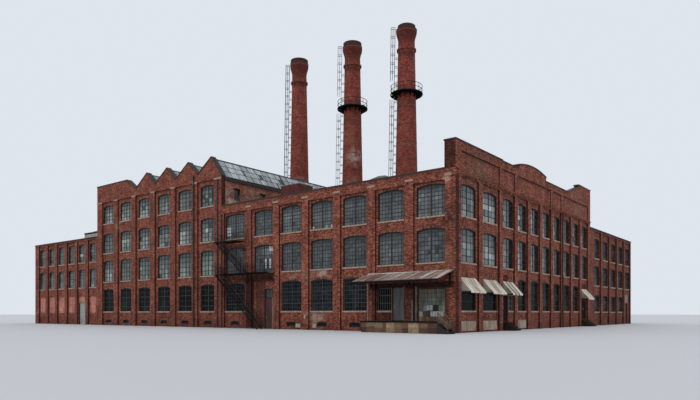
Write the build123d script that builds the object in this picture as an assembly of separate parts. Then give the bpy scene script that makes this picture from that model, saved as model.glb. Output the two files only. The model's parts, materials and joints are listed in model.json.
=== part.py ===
from build123d import *
import os

# A brick factory of about 1900 with a four-storey sawtooth block, low wings and three round stacks.
# One tenth scale: every size is in model millimetres, so 100 is one real metre.
# The near corner, where the front meets the side street, is the zero point while modelling:
# the front runs west along -X, the side street runs back along +Y, and z is 0 at the ground.

# Lengths of the ranges, outer face to outer face
CORNER_LENGTH = 2995
SAW_LENGTH = 2705
WING_LENGTH = 1915
FRONT_DEPTH = 2200
SIDE_LENGTH = 3670
SIDE_RANGE_WIDTH = 1400
REAR_WING_LENGTH = 2110
REAR_WING_WIDTH = 1200
WING_DEPTH = 1600

# Walls are brick panels between flat piers that stand forward of them
PIER_PROJECTION = 18
PANEL_WALL = 40
PIER_WIDTH = 86
NARROW_PIER_WIDTH = 76
CORNER_PIER_WIDTH = 106

# Levels of the corner and sawtooth blocks
GROUND_FLOOR = 100
GROUND_SLAB = 15
UPPER_FLOORS = (540, 940, 1335)
SLAB = 28
SILL_TOPS = (190, 607, 1005, 1420)
SPRINGS = (488, 884, 1262, 1650)
ARCH_RISE = 18
MAIN_ROOF = 1325
BAND_BOTTOM = 1300
FRONT_PARAPET = 1390
SIDE_PARAPET = 1625
SAW_EAVE = 1745
GABLE_FOOT = 1717

# Levels of the two low wings
WING_FLOORS = (478, 845)
WING_SILL_TOPS = (187, 543, 910)
WING_SPRINGS = (400, 793, 1162)
WING_ARCH_RISE = 14
WING_ROOF = 1205
WING_PARAPET = 1250
REAR_WING_PARAPET = 1290

# Bays: the first and the last centre's distance from the ends of the wall, pitch and opening width
FRONT_MARGINS = (251, 674)
FRONT_BAY_PITCH = 414
FRONT_WINDOW = 280
END_BAY_MARGIN = 215
END_BAY_WINDOW = 320
SAW_MARGINS = (265, 270)
SAW_BAY_PITCH = 434
SAW_WINDOW = 255
WING_MARGINS = (145, 230)
WING_BAY_PITCH = 308
WING_WINDOW = 186
WIDE_SECTION_END = 935
SIDE_WIDE_MARGINS = (257, 244)
SIDE_WIDE_PITCH = 434
SIDE_WIDE_WINDOW = 290
SIDE_MARGINS = (158, 225)
SIDE_BAY_PITCH = 336
SIDE_WINDOW = 236
REAR_MARGINS = (325, 185)
REAR_BAY_PITCH = 400
REAR_WINDOW = 260
COURT_BAY_PITCH = 420
COURT_WINDOW = 220
PIER_REVEAL = 10

# Small windows of the sawtooth block over the corner block's roof
PARTY_SILL = 1488
PARTY_HEAD = 1628
PARTY_WINDOW = 95
PARTY_MARGINS = (235, 325)
PARTY_BAY_PITCH = 410

# Window parts
SILL_HEIGHT = 14
SILL_LUG = 8
SILL_PROJECTION = 7
GLASS_SETBACK = 16
GLASS = 4

# Small half-sunk windows of the basement
BASEMENT_WIDTH = 130
BASEMENT_SILL = 34
BASEMENT_SPRING = 74
BASEMENT_RISE = 7

# Closed openings: the west wing's ground storey, its boarded bay and the rear wing's end doorway
INFILL_SETBACK = 4
INFILL = 24
BOARDED_BAY = 1
BOARDED_HEAD = 318
REAR_DOORWAY_MARGIN = 225
REAR_DOORWAY_WIDTH = 160
REAR_DOORWAY_HEAD = 318

# Plain stone plates over the basement lights of the side street
BASE_PANEL_BAYS = (0, 1, 3)
BASE_PANEL_FOOT = 15
BASE_PANEL_HEIGHT = 85
BASE_PANEL = 4

# Parapet of the side street
COPING = 11
COPING_OVERHANG = 6
PANEL_RECESS = 9
PANEL_BOTTOM = 1368
PANEL_TOP = 1550
STRING_BOTTOM = 1345
STRING_HEIGHT = 20
STRING_PROJECTION = 9
PIER_CAP_HEIGHT = 20
PIER_CAP_PROJECTION = 6
FRONT_CAP_BOTTOM = 1326
SAW_CAP_BOTTOM = 1706
PARAPET_STEP = 8
PEDIMENT_START = 1320
PEDIMENT_END = 2080
PEDIMENT_SHOULDER = 1660
PEDIMENT_RISE = 42
RAMP_START = 2790
RAMP_END = 3190
RAMP_TOP = 1735
END_BLOCK_TOP = 1768

# Sawtooth gables
TOOTH_PITCH = 433
TOOTH_COUNT = 4
TOOTH_PEAK = 1980
TOOTH_VALLEY = 1810
TOOTH_STEEP_RUN = 178
SAW_RAKE_RUN = 203
SAW_FLAT_TOP = 1950
ROOF_SHEET = 10
ROOF_BELOW_COPING = 14
RIDGE_HALF = 14
RIDGE_SHEET = 6
GUTTER_WIDTH = 14
GUTTER_HEIGHT = 26

# Doors: place along the wall, width and head
DOOR_LEAF = 6
DOOR_GAP = 5
DOOR_SETBACK = 8
HINGE_RADIUS = 2.5
HINGE_LENGTH = 14
HINGE_PLACES = (0.15, 0.8)
SEAT_GAP = 0.3
DOCK_DOOR_CENTRE = 588
DOCK_DOOR_WIDTH = 120
DOCK_DOOR_HEAD = 402
ESCAPE_DOOR_MARGIN = 752
ESCAPE_DOOR_WIDTH = 118
ESCAPE_DOOR_HEAD = 335
ESCAPE_TRANSOM = 90
SIDE_DOOR_CENTRE = 1038
SIDE_DOOR_WIDTH = 112
SIDE_DOOR_HEAD = 338
PAIR_DOOR_WIDTH = 200
PAIR_DOOR_HEAD = 322
SIDELIGHT_POST = 16
STOOP_STEPS = 4
STOOP_GOING = 28
STOOP_MARGIN = 10
DOCK_BAY_LEFT = 382
DOCK_BAY_RIGHT = 110
DOCK_BAY_HEAD = 379
DOCK_WINDOW_RIGHT = 664
DOCK_WINDOW_LEFT = 812
DOCK_WINDOW_HEAD = 399

# Loading dock, its steps and canopy
DOCK_RIGHT = 31
DOCK_LEFT = 819
DOCK_DEPTH = 240
DOCK_DECK = 8
STEP_COUNT = 5
STEP_WIDTH = 110
STEP_GOING = 26
STEP_BOARD = 5
CANOPY_LEFT = 900
CANOPY_RIGHT = 12
CANOPY_WALL_HEIGHT = 530
CANOPY_EAVE_HEIGHT = 452
CANOPY_DEPTH = 260
CANOPY_SHEET = 8
CANOPY_BEAM = 14
CANOPY_BRACE = 10
CANOPY_BRACE_DEPTH = 110

# Awnings
AWNING_TOP = 455
AWNING_FOOT = 345
AWNING_REACH = 110
AWNING_CLOTH = 3
AWNING_WIDTH = 290
AWNING_NARROW_WIDTH = 236

# Fire escape
ESCAPE_LANE = 104
ESCAPE_STAIR = 76
ESCAPE_DECK = 5
ESCAPE_LOW = 595
ESCAPE_HIGH = 955
ESCAPE_MARGIN = 40
ESCAPE_LENGTH = 820
ESCAPE_HIGH_LENGTH = 378
ESCAPE_SPUR = 75
UPPER_RUN = 440
LOWER_RUN = 675
ESCAPE_BAR = 4
STRINGER_DEPTH = 18
TREAD_RISE = 22
TREAD_GOING = 20
TREAD = 3
RAIL_HEIGHT = 95
RAIL_BAR = 3
RAIL_POST_PITCH = 110
WELL_MARGIN = 20
WELL_DEPTH = 260

# Stacks
STACK_CENTRES = (2065, 3002, 4062)
GALLERY_COUNT = 2
STACK_HEIGHT = 4150
STACK_FOOT_RADIUS = 182
STACK_NECK_RADIUS = 113
STACK_CROWN_RADIUS = 143
STACK_CAP_RADIUS = 121
STACK_WALL = 30
NECK_BELOW_TOP = 290
SHOULDER_BELOW_TOP = 140
CROWN_BELOW_TOP = 108
CAP_BELOW_TOP = 80
CAP_BEVEL = 8
COLLAR_BELOW_TOP = 408
COLLAR_HEIGHT = 22
COLLAR_PROJECTION = 17
PLINTH_SIZE = 480
PLINTH_HEIGHT = 420
GALLERY_HEIGHT = 3155
GALLERY_RADIUS = 222
GALLERY_BRACKET = 70
GALLERY_EDGE = 12
GALLERY_RAIL = 105
GALLERY_POSTS = 12
GALLERY_BAR = 5
GALLERY_POST = 4
BRACKET_INSET = 8
BRACKET_EDGE = 10
BRACKET_PLATE = 6
LADDER_TURN = 38.3
LADDER_FOOT = 720
LADDER_BELOW_TOP = 90
LADDER_WIDTH = 44
LADDER_BAR = 5
LADDER_FOOT_STANDOFF = 34
LADDER_CROWN_GAP = 11
CAGE_DEPTH = 57
CAGE_PITCH = 117
HATCH_MARGIN = 10
HATCH_DEPTH = 50

# Roof items
MONITOR_MARGIN = 465
MONITOR_LENGTH = 290
MONITOR_FRONT = 640
MONITOR_DEPTH = 240
MONITOR_HEIGHT = 330
LOW_VENT_CENTRE = 1225
LOW_VENT_SIZE = 200
LOW_VENT_FRONT = 600
LOW_VENT_HEIGHT = 240
LOW_VENT_RISE = 30
WING_MONITOR_MARGIN = 740
WING_MONITOR_LENGTH = 400
WING_MONITOR_FRONT = 420
WING_MONITOR_DEPTH = 360
WING_MONITOR_HEIGHT = 290
WING_MONITOR_RISE = 70

DOWNPIPE_RADIUS = 7
CORNER_PIPE_MARGIN = 12
SAW_PIPE_MARGIN = 60

# Worked out from the sizes above
WALL = PIER_PROJECTION + PANEL_WALL
SAW_START = CORNER_LENGTH
SAW_END = SAW_START + SAW_LENGTH
WING_END = SAW_END + WING_LENGTH
REAR_WING_END = SIDE_LENGTH + REAR_WING_LENGTH
SAW_FLAT_START = SAW_START + TOOTH_COUNT * TOOTH_PITCH + SAW_RAKE_RUN
GROUND = (0, UPPER_FLOORS[0])
PANE_DEPTH = (PIER_PROJECTION + GLASS_SETBACK, PIER_PROJECTION + GLASS_SETBACK + GLASS)
COPING_DEPTH = (-COPING_OVERHANG, WALL + COPING_OVERHANG)
DOOR_DEPTH = PIER_PROJECTION + DOOR_SETBACK
STACK_LINE = FRONT_DEPTH + PLINTH_SIZE / 2
NECK_HEIGHT = STACK_HEIGHT - NECK_BELOW_TOP
LADDER_HEAD = STACK_HEIGHT - LADDER_BELOW_TOP
ESCAPE_LEFT = SAW_START - ESCAPE_MARGIN
ESCAPE_RIGHT = ESCAPE_LEFT - ESCAPE_LENGTH
UPPER_HEAD = ESCAPE_LEFT - ESCAPE_SPUR
UPPER_FOOT = UPPER_HEAD - UPPER_RUN
LOWER_HEAD = UPPER_HEAD
LOWER_FOOT = LOWER_HEAD - LOWER_RUN
STAIR_LANE = (-ESCAPE_LANE - ESCAPE_STAIR, -ESCAPE_LANE)
UPPER_FLIGHT = (UPPER_HEAD, UPPER_FOOT, ESCAPE_HIGH, ESCAPE_LOW)
LOWER_FLIGHT = (LOWER_HEAD, LOWER_FOOT, ESCAPE_LOW, 0)
STEP_RISE = GROUND_FLOOR / STEP_COUNT
STEP_HEAD = DOCK_RIGHT + DOCK_DECK
STEP_FOOT = STEP_HEAD - STEP_GOING * (STEP_COUNT - 1)
STEP_SIDE = ((STEP_FOOT, STEP_RISE - STEP_BOARD), (STEP_HEAD, GROUND_FLOOR - STEP_RISE - STEP_BOARD))


class Facade:
    """One wall line: u runs along it, d runs into the wall from its outer face, z is up."""

    def __init__(self, x, y, along, inward):
        self.origin = Vector(x, y, 0)
        self.along = Vector(*along, 0)
        self.inward = Vector(*inward, 0)

    def point(self, u, d, z):
        return self.origin + self.along * u + self.inward * d + Vector(0, 0, z)

    def box(self, u, d, z):
        """A block between two values of u, of d and of z."""
        first = self.point(u[0], d[0], z[0])
        second = self.point(u[1], d[1], z[1])
        low = Vector(min(first.X, second.X), min(first.Y, second.Y), min(first.Z, second.Z))
        size = (abs(first.X - second.X), abs(first.Y - second.Y), abs(first.Z - second.Z))
        return Pos(*low) * Box(*size, align=(Align.MIN, Align.MIN, Align.MIN))

    def slab(self, sketch, d):
        """A sketch drawn in u and z, given thickness between two depths."""
        plane = Plane(self.point(0, d[0], 0), x_dir=self.along, z_dir=self.along.cross(Vector(0, 0, 1)))
        sign = plane.z_dir.dot(self.inward)
        return extrude(plane * sketch, amount=sign * (d[1] - d[0]))

    def ramp(self, outline, u):
        """An outline of (d, z) points, swept along the wall between two values of u."""
        points = [self.point(u[0], d, z) for d, z in outline]
        face = make_face(Polyline(*points, close=True).edges())
        return extrude(face, amount=abs(u[1] - u[0]), dir=self.along * (1 if u[1] > u[0] else -1))


FRONT = Facade(0, 0, (-1, 0), (0, 1))
SIDE = Facade(0, 0, (0, 1), (-1, 0))
COURT = Facade(0, FRONT_DEPTH, (-1, 0), (0, -1))
RANGE_COURT = Facade(-SIDE_RANGE_WIDTH, 0, (0, 1), (1, 0))
RANGE_END = Facade(0, SIDE_LENGTH, (-1, 0), (0, -1))
REAR_COURT = Facade(-REAR_WING_WIDTH, 0, (0, 1), (1, 0))
REAR_END = Facade(0, REAR_WING_END, (-1, 0), (0, -1))
SAW_WEST = Facade(-SAW_END, 0, (0, 1), (1, 0))
WING_WEST = Facade(-WING_END, 0, (0, 1), (1, 0))
WING_REAR = Facade(0, WING_DEPTH, (-1, 0), (0, -1))
PARTY = Facade(-SAW_START, 0, (0, 1), (-1, 0))


def rectangle(u, z):
    """A rectangle between two values of u and of z, in a wall's sketch plane."""
    width, height = u[1] - u[0], z[1] - z[0]
    return Pos(u[0] + width / 2, z[0] + height / 2) * Rectangle(width, height)


def arch(centre, width, foot, spring, rise):
    """An opening with upright sides and a segmental head."""
    left, right = centre - width / 2, centre + width / 2
    sides = Polyline((left, spring), (left, foot), (right, foot), (right, spring))
    head = ThreePointArc((right, spring), (centre, spring + rise), (left, spring))
    return make_face(sides.edges() + head.edges())


def bay_row(start, end, margins, pitch, width):
    """As many bays as fit between the margins at a wall's two ends, each as its centre and width."""
    first, last = start + margins[0], end - margins[1]
    return [(first + pitch * i, width) for i in range(1 + int((last - first) // pitch))]


def span(centre, width):
    """The two ends of something centred along a wall."""
    return (centre - width / 2, centre + width / 2)


FRONT_BAYS = bay_row(0, SAW_START, FRONT_MARGINS, FRONT_BAY_PITCH, FRONT_WINDOW)
FRONT_BAYS += [(SAW_START - END_BAY_MARGIN, END_BAY_WINDOW)]
SAW_BAYS = bay_row(SAW_START, SAW_END, SAW_MARGINS, SAW_BAY_PITCH, SAW_WINDOW)
WING_BAYS = bay_row(SAW_END, WING_END, WING_MARGINS, WING_BAY_PITCH, WING_WINDOW)
WIDE_BAYS = bay_row(0, WIDE_SECTION_END, SIDE_WIDE_MARGINS, SIDE_WIDE_PITCH, SIDE_WIDE_WINDOW)
NARROW_BAYS = bay_row(WIDE_SECTION_END, SIDE_LENGTH, SIDE_MARGINS, SIDE_BAY_PITCH, SIDE_WINDOW)
SIDE_BAYS = WIDE_BAYS + NARROW_BAYS
REAR_BAYS = bay_row(SIDE_LENGTH, REAR_WING_END, REAR_MARGINS, REAR_BAY_PITCH, REAR_WINDOW)
PARTY_BAYS = bay_row(0, FRONT_DEPTH, PARTY_MARGINS, PARTY_BAY_PITCH, PARTY_WINDOW)
MIDDLE_BAYS = FRONT_BAYS[2:-2]
BASEMENT_BAYS = MIDDLE_BAYS + FRONT_BAYS[-1:]
STREET_BAYS = NARROW_BAYS[1:-1]

DOCK_DOOR = span(DOCK_DOOR_CENTRE, DOCK_DOOR_WIDTH)
ESCAPE_DOOR = span(SAW_START - ESCAPE_DOOR_MARGIN, ESCAPE_DOOR_WIDTH)
ESCAPE_HEAD = ESCAPE_DOOR_HEAD + ESCAPE_TRANSOM
SIDE_DOOR = span(SIDE_DOOR_CENTRE, SIDE_DOOR_WIDTH)
SIDELIGHT = (SIDE_DOOR[1] + SIDELIGHT_POST, span(*NARROW_BAYS[0])[1])
PAIR_DOOR_CENTRE = SIDE_LENGTH - SIDE_MARGINS[1]
PAIR_DOOR = span(PAIR_DOOR_CENTRE, PAIR_DOOR_WIDTH)
REAR_DOORWAY = span(REAR_WING_END - REAR_DOORWAY_MARGIN, REAR_DOORWAY_WIDTH)
WELL = (ESCAPE_DOOR[0] - WELL_MARGIN, ESCAPE_DOOR[1] + WELL_MARGIN)


class Row:
    """One storey of windows in a wall: its bays, sill top, spring height and arch rise."""

    def __init__(self, facade, bay_list, sill, spring, rise):
        self.facade = facade
        self.bays = bay_list
        self.sill = sill
        self.spring = spring
        self.rise = rise

    def holes(self):
        """The openings, each from the underside of its stone sill, or from a flat brick sill."""
        foot = self.sill - SILL_HEIGHT if self.rise else self.sill
        return [self.opening(u, width, foot) for u, width in self.bays]

    def opening(self, centre, width, foot):
        if self.rise:
            return arch(centre, width, foot, self.spring, self.rise)
        return rectangle(span(centre, width), (foot, self.spring))

    def glass(self):
        """A pane in each opening, standing on the sill."""
        shapes = [self.opening(u, width, self.sill) for u, width in self.bays]
        return [self.facade.slab(shape, PANE_DEPTH) for shape in shapes]

    def sills(self):
        """A stone sill in the foot of each opening, with lugs that lie on the panel's face."""
        return [stone_sill(self.facade, u, width, self.sill) for u, width in self.bays]


def stone_sill(facade, centre, width, top):
    """A sill that fills the wall's depth up to the glass and runs past both jambs outside."""
    z = (top - SILL_HEIGHT, top)
    body = facade.box(span(centre, width), (PIER_PROJECTION, PANE_DEPTH[1]), z)
    nose_depth = (PIER_PROJECTION - SILL_PROJECTION, PIER_PROJECTION)
    return body + facade.box(span(centre, width + 2 * SILL_LUG), nose_depth, z)


def storeys(facade, bay_list, sills, springs, rise):
    """The window rows of a wall, one for each sill height."""
    return [Row(facade, bay_list, sill, spring, rise) for sill, spring in zip(sills, springs)]


FRONT_GROUND = Row(FRONT, BASEMENT_BAYS, SILL_TOPS[0], SPRINGS[0], ARCH_RISE)
FRONT_UPPER_ROWS = storeys(FRONT, FRONT_BAYS, SILL_TOPS[1:3], SPRINGS[1:3], ARCH_RISE)
SAW_ROWS = storeys(FRONT, SAW_BAYS, SILL_TOPS, SPRINGS, ARCH_RISE)
WING_GROUND = Row(FRONT, WING_BAYS, WING_SILL_TOPS[0], WING_SPRINGS[0], WING_ARCH_RISE)
WING_ROWS = storeys(FRONT, WING_BAYS, WING_SILL_TOPS[1:], WING_SPRINGS[1:], WING_ARCH_RISE)
SIDE_GROUND = Row(SIDE, WIDE_BAYS + STREET_BAYS, SILL_TOPS[0], SPRINGS[0], ARCH_RISE)
SIDE_UPPER_ROWS = storeys(SIDE, SIDE_BAYS, SILL_TOPS[1:3], SPRINGS[1:3], ARCH_RISE)
REAR_ROWS = storeys(SIDE, REAR_BAYS, WING_SILL_TOPS[1:], WING_SPRINGS[1:], WING_ARCH_RISE)
REAR_ROWS += [Row(SIDE, REAR_BAYS[:-1], WING_SILL_TOPS[0], WING_SPRINGS[0], WING_ARCH_RISE)]
PARTY_ROWS = [Row(PARTY, PARTY_BAYS, PARTY_SILL, PARTY_HEAD, 0)]


def court_bays(start, end):
    """Bays for a hidden wall, as many as fit, centred between its ends."""
    spare = (end - start) % COURT_BAY_PITCH
    margin = (COURT_BAY_PITCH + spare) / 2
    return bay_row(start, end, (margin, margin), COURT_BAY_PITCH, COURT_WINDOW)


COURT_ROWS = storeys(COURT, court_bays(SIDE_RANGE_WIDTH, SAW_START), SILL_TOPS[:3], SPRINGS[:3], 0)
SAW_COURT_ROWS = storeys(COURT, court_bays(SAW_START, SAW_END), SILL_TOPS, SPRINGS, 0)
RANGE_COURT_ROWS = storeys(RANGE_COURT, court_bays(FRONT_DEPTH, SIDE_LENGTH), SILL_TOPS[:3], SPRINGS[:3], 0)
REAR_COURT_ROWS = storeys(REAR_COURT, court_bays(SIDE_LENGTH, REAR_WING_END), WING_SILL_TOPS, WING_SPRINGS, 0)
REAR_END_ROWS = storeys(REAR_END, court_bays(0, REAR_WING_WIDTH), WING_SILL_TOPS, WING_SPRINGS, 0)
WING_WEST_ROWS = storeys(WING_WEST, court_bays(0, WING_DEPTH), WING_SILL_TOPS, WING_SPRINGS, 0)
WING_REAR_ROWS = storeys(WING_REAR, court_bays(SAW_END, WING_END), WING_SILL_TOPS, WING_SPRINGS, 0)


def holes_of(rows):
    return [hole for row in rows for hole in row.holes()]


def pier_lines(bay_list, start, end, width):
    """Piers in the middle between neighbouring openings, and one at each end of the wall."""
    jambs = [span(*bay) for bay in bay_list]
    piers = [(start, jambs[0][0] - PIER_REVEAL)]
    for before, after in zip(jambs, jambs[1:]):
        piers.append(span((before[1] + after[0]) / 2, width))
    piers.append((jambs[-1][1] + PIER_REVEAL, end))
    return piers


def panelled(facade, u, z, holes, piers):
    """A wall piece: a pierced panel layer with piers standing forward of it, between two levels."""
    panel = rectangle(u, z) - holes if holes else rectangle(u, z)
    wall = facade.slab(panel, (PIER_PROJECTION, WALL))
    for low, high in piers:
        low, high = max(low, u[0]), min(high, u[1])
        if high > low:
            wall += facade.box((low, high), (0, PIER_PROJECTION), z)
    return wall


def plain(facade, u, z, holes):
    """A hidden wall of one thickness, pierced by its windows."""
    panel = rectangle(u, z) - holes if holes else rectangle(u, z)
    return facade.slab(panel, (0, WALL))


FRONT_PIERS = pier_lines(FRONT_BAYS, 0, CORNER_LENGTH, PIER_WIDTH)
SAW_PIERS = pier_lines(SAW_BAYS, SAW_START, SAW_END, PIER_WIDTH)
WING_PIERS = pier_lines(WING_BAYS, SAW_END, WING_END, NARROW_PIER_WIDTH)
SIDE_PIERS = pier_lines(SIDE_BAYS, 0, SIDE_LENGTH, NARROW_PIER_WIDTH)
REAR_PIERS = pier_lines(REAR_BAYS, SIDE_LENGTH, REAR_WING_END, PIER_WIDTH)


def basement_holes(bay_list):
    """A small arched opening low in each bay."""
    return [arch(u, BASEMENT_WIDTH, BASEMENT_SILL, BASEMENT_SPRING, BASEMENT_RISE) for u, _ in bay_list]


def front_wall_right():
    """Ground storey from the near corner to the dock door, with the wide dock bay cut through."""
    hole = rectangle((DOCK_BAY_RIGHT, DOCK_BAY_LEFT), (GROUND_FLOOR, DOCK_BAY_HEAD))
    return panelled(FRONT, (0, DOCK_DOOR[0]), GROUND, [hole], FRONT_PIERS)


def front_wall_middle():
    """Ground storey between the dock door and the fire escape door."""
    window = rectangle((DOCK_WINDOW_RIGHT, DOCK_WINDOW_LEFT), (SILL_TOPS[0] - SILL_HEIGHT, DOCK_WINDOW_HEAD))
    between = Row(FRONT, MIDDLE_BAYS, SILL_TOPS[0], SPRINGS[0], ARCH_RISE).holes()
    holes = [window] + between + basement_holes(MIDDLE_BAYS)
    return panelled(FRONT, (DOCK_DOOR[1], ESCAPE_DOOR[0]), GROUND, holes, FRONT_PIERS)


def front_wall_left():
    """Ground storey between the fire escape door and the sawtooth block."""
    holes = Row(FRONT, FRONT_BAYS[-1:], SILL_TOPS[0], SPRINGS[0], ARCH_RISE).holes()
    holes += basement_holes(FRONT_BAYS[-1:])
    return panelled(FRONT, (ESCAPE_DOOR[1], SAW_START), GROUND, holes, FRONT_PIERS)


def front_wall_ground():
    return [front_wall_right(), front_wall_middle(), front_wall_left()]


def front_wall_upper():
    """Second and third storeys, closed at the top by a band flush with the piers."""
    z = (UPPER_FLOORS[0], FRONT_PARAPET)
    wall = panelled(FRONT, (0, SAW_START), z, holes_of(FRONT_UPPER_ROWS), FRONT_PIERS)
    return wall + FRONT.box((0, SAW_START), (0, PIER_PROJECTION), (BAND_BOTTOM, FRONT_PARAPET))


def door_heads():
    """Brickwork over the doorways, up to the second floor, and the dock threshold under one door."""
    d = (PIER_PROJECTION, WALL)
    top = UPPER_FLOORS[0]
    return [
        FRONT.box(DOCK_DOOR, d, (DOCK_DOOR_HEAD, top)),
        FRONT.box(DOCK_DOOR, d, (0, GROUND_FLOOR)),
        FRONT.box(ESCAPE_DOOR, d, (ESCAPE_HEAD, top)),
        SIDE.box(SIDE_DOOR, d, (SIDE_DOOR_HEAD, top)),
        SIDE.box(SIDE_DOOR, d, (0, GROUND_FLOOR)),
        SIDE.box(PAIR_DOOR, d, (PAIR_DOOR_HEAD, top)),
        SIDE.box(PAIR_DOOR, d, (0, GROUND_FLOOR)),
    ]


def side_wall_near():
    """Ground storey of the side street from the corner to the first door."""
    holes = Row(SIDE, WIDE_BAYS, SILL_TOPS[0], SPRINGS[0], ARCH_RISE).holes()
    return panelled(SIDE, (WALL, SIDE_DOOR[0]), GROUND, holes, SIDE_PIERS)


def side_wall_middle():
    """Ground storey between the two doorways, with a sidelight beside the first door."""
    sidelight = rectangle(SIDELIGHT, (SILL_TOPS[0] - SILL_HEIGHT, SIDE_DOOR_HEAD))
    holes = [sidelight] + Row(SIDE, STREET_BAYS, SILL_TOPS[0], SPRINGS[0], ARCH_RISE).holes()
    return panelled(SIDE, (SIDE_DOOR[1], PAIR_DOOR[0]), GROUND, holes, SIDE_PIERS)


def side_wall_far():
    """Ground storey beyond the far doorway."""
    return panelled(SIDE, (PAIR_DOOR[1], SIDE_LENGTH), GROUND, [], SIDE_PIERS)


def side_wall_ground():
    return [side_wall_near(), side_wall_middle(), side_wall_far()]


def side_wall_upper():
    """Second and third storeys of the side street, up to the string course."""
    z = (UPPER_FLOORS[0], STRING_BOTTOM)
    return panelled(SIDE, (WALL, SIDE_LENGTH), z, holes_of(SIDE_UPPER_ROWS), SIDE_PIERS)


def side_parapet_outline():
    """The stepped and arched top line of the side parapet, as a face in u and z."""
    base = STRING_BOTTOM
    low = SIDE_PARAPET - PARAPET_STEP
    crown = ((PEDIMENT_START + PEDIMENT_END) / 2, PEDIMENT_SHOULDER + PEDIMENT_RISE)
    before = Polyline(
        (PEDIMENT_START, PEDIMENT_SHOULDER),
        (PEDIMENT_START, low),
        (WIDE_SECTION_END, low),
        (WIDE_SECTION_END, SIDE_PARAPET),
        (WALL, SIDE_PARAPET),
        (WALL, base),
        (SIDE_LENGTH, base),
        (SIDE_LENGTH, END_BLOCK_TOP),
        (RAMP_END, END_BLOCK_TOP),
        (RAMP_END, RAMP_TOP),
        (RAMP_START, low),
        (PEDIMENT_END, low),
        (PEDIMENT_END, PEDIMENT_SHOULDER),
    )
    curve = ThreePointArc((PEDIMENT_END, PEDIMENT_SHOULDER), crown, (PEDIMENT_START, PEDIMENT_SHOULDER))
    return make_face(before.edges() + curve.edges())


def parapet_panels():
    """The sunk brick panels of the side parapet, between its short piers."""
    z = (PANEL_BOTTOM, PANEL_TOP)
    half = NARROW_PIER_WIDTH / 2
    wide_end = SIDE_PIERS[2][0]
    lines = [sum(pier) / 2 for pier in SIDE_PIERS]
    return [
        rectangle((CORNER_PIER_WIDTH, wide_end), z),
        rectangle((SIDE_PIERS[2][1], lines[3] - half), z),
        rectangle((lines[3] + half, lines[6] - half), z),
        rectangle((lines[6] + half, lines[7] - half), z),
        rectangle((lines[7] + half, SIDE_PIERS[-1][0]), z),
    ]


def side_parapet():
    """The tall parapet of the side street: sunk panels in front, a plain back, and the corner pier's top."""
    outline = side_parapet_outline()
    wall = SIDE.slab(outline, (PANEL_RECESS, WALL)) + SIDE.slab(outline - parapet_panels(), (0, PANEL_RECESS))
    pier = FRONT.box((0, CORNER_PIER_WIDTH), (0, WALL), (FRONT_PARAPET, SIDE_PARAPET))
    return wall + pier


def string_course():
    """A moulded course along the side street under the parapet's panels."""
    reach = (-STRING_PROJECTION, 0)
    z = (STRING_BOTTOM, STRING_BOTTOM + STRING_HEIGHT)
    outline = [(0, z[0]), (reach[0], z[0] + STRING_HEIGHT / 2), (reach[0], z[1]), (0, z[1])]
    return SIDE.ramp(outline, (0, SIDE_LENGTH))


def pier_caps(piers, foot):
    """A pale block across the face of each pier."""
    depth = (-PIER_CAP_PROJECTION, 0)
    z = (foot, foot + PIER_CAP_HEIGHT)
    return [FRONT.box(pier, depth, z) for pier in piers]


def stone_trim():
    """The string course, and the pier caps of the front and of the gables' feet."""
    front_caps = pier_caps(FRONT_PIERS[:-1], FRONT_CAP_BOTTOM)
    return [string_course()] + front_caps + pier_caps(SAW_PIERS, SAW_CAP_BOTTOM)


def tooth_points():
    """Valley and peak points of the sawtooth gable, from the corner block westwards."""
    points = [(SAW_START, SAW_EAVE)]
    for i in range(TOOTH_COUNT):
        valley = SAW_START + TOOTH_PITCH * i
        points.append((valley + TOOTH_STEEP_RUN, TOOTH_PEAK))
        points.append((valley + TOOTH_PITCH, TOOTH_VALLEY))
    return points


def gable_outline():
    """Four teeth, a raking piece and the flat end of the parapet, as a face in u and z."""
    points = tooth_points()
    points += [(SAW_FLAT_START, SAW_FLAT_TOP), (SAW_END, SAW_FLAT_TOP)]
    points += [(SAW_END, GABLE_FOOT), (SAW_START, GABLE_FOOT)]
    return make_face(Polyline(*points, close=True).edges())


def saw_front_wall():
    """Four storeys of the sawtooth block, up to the foot of the gables."""
    holes = holes_of(SAW_ROWS) + basement_holes(SAW_BAYS)
    return panelled(FRONT, (SAW_START, SAW_END), (0, GABLE_FOOT), holes, SAW_PIERS)


def saw_gables():
    """The zigzag gables over the front and the court walls."""
    outline = gable_outline()
    return [FRONT.slab(outline, (0, WALL)), COURT.slab(outline, (0, WALL))]


def saw_rear_wall():
    return plain(COURT, (SAW_START, SAW_END), (0, GABLE_FOOT), holes_of(SAW_COURT_ROWS))


def saw_west_wall():
    """The wall between the sawtooth block and the low west wing, up to its own coping."""
    return SAW_WEST.box((WALL, FRONT_DEPTH - WALL), (0, WALL), (0, SAW_FLAT_TOP))


def party_wall():
    """The wall that carries the sawtooth block above the corner block's roof."""
    top = SAW_EAVE - ROOF_BELOW_COPING - ROOF_SHEET
    panel = rectangle((WALL, FRONT_DEPTH - WALL), (UPPER_FLOORS[2], top)) - holes_of(PARTY_ROWS)
    return PARTY.slab(panel, (0, WALL))


def infill_outlines():
    """The west wing's ground openings as they are bricked up: whole, or above the boarded bay."""
    feet = [WING_SILL_TOPS[0] - SILL_HEIGHT] * len(WING_BAYS)
    feet[BOARDED_BAY] = BOARDED_HEAD
    return [WING_GROUND.opening(*bay, foot) for bay, foot in zip(WING_BAYS, feet)]


def boarded_outline():
    return rectangle(span(*WING_BAYS[BOARDED_BAY]), (0, BOARDED_HEAD))


def wing_front_wall():
    holes = holes_of(WING_ROWS) + infill_outlines() + [boarded_outline()]
    return panelled(FRONT, (SAW_END, WING_END), (0, WING_PARAPET), holes, WING_PIERS)


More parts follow.
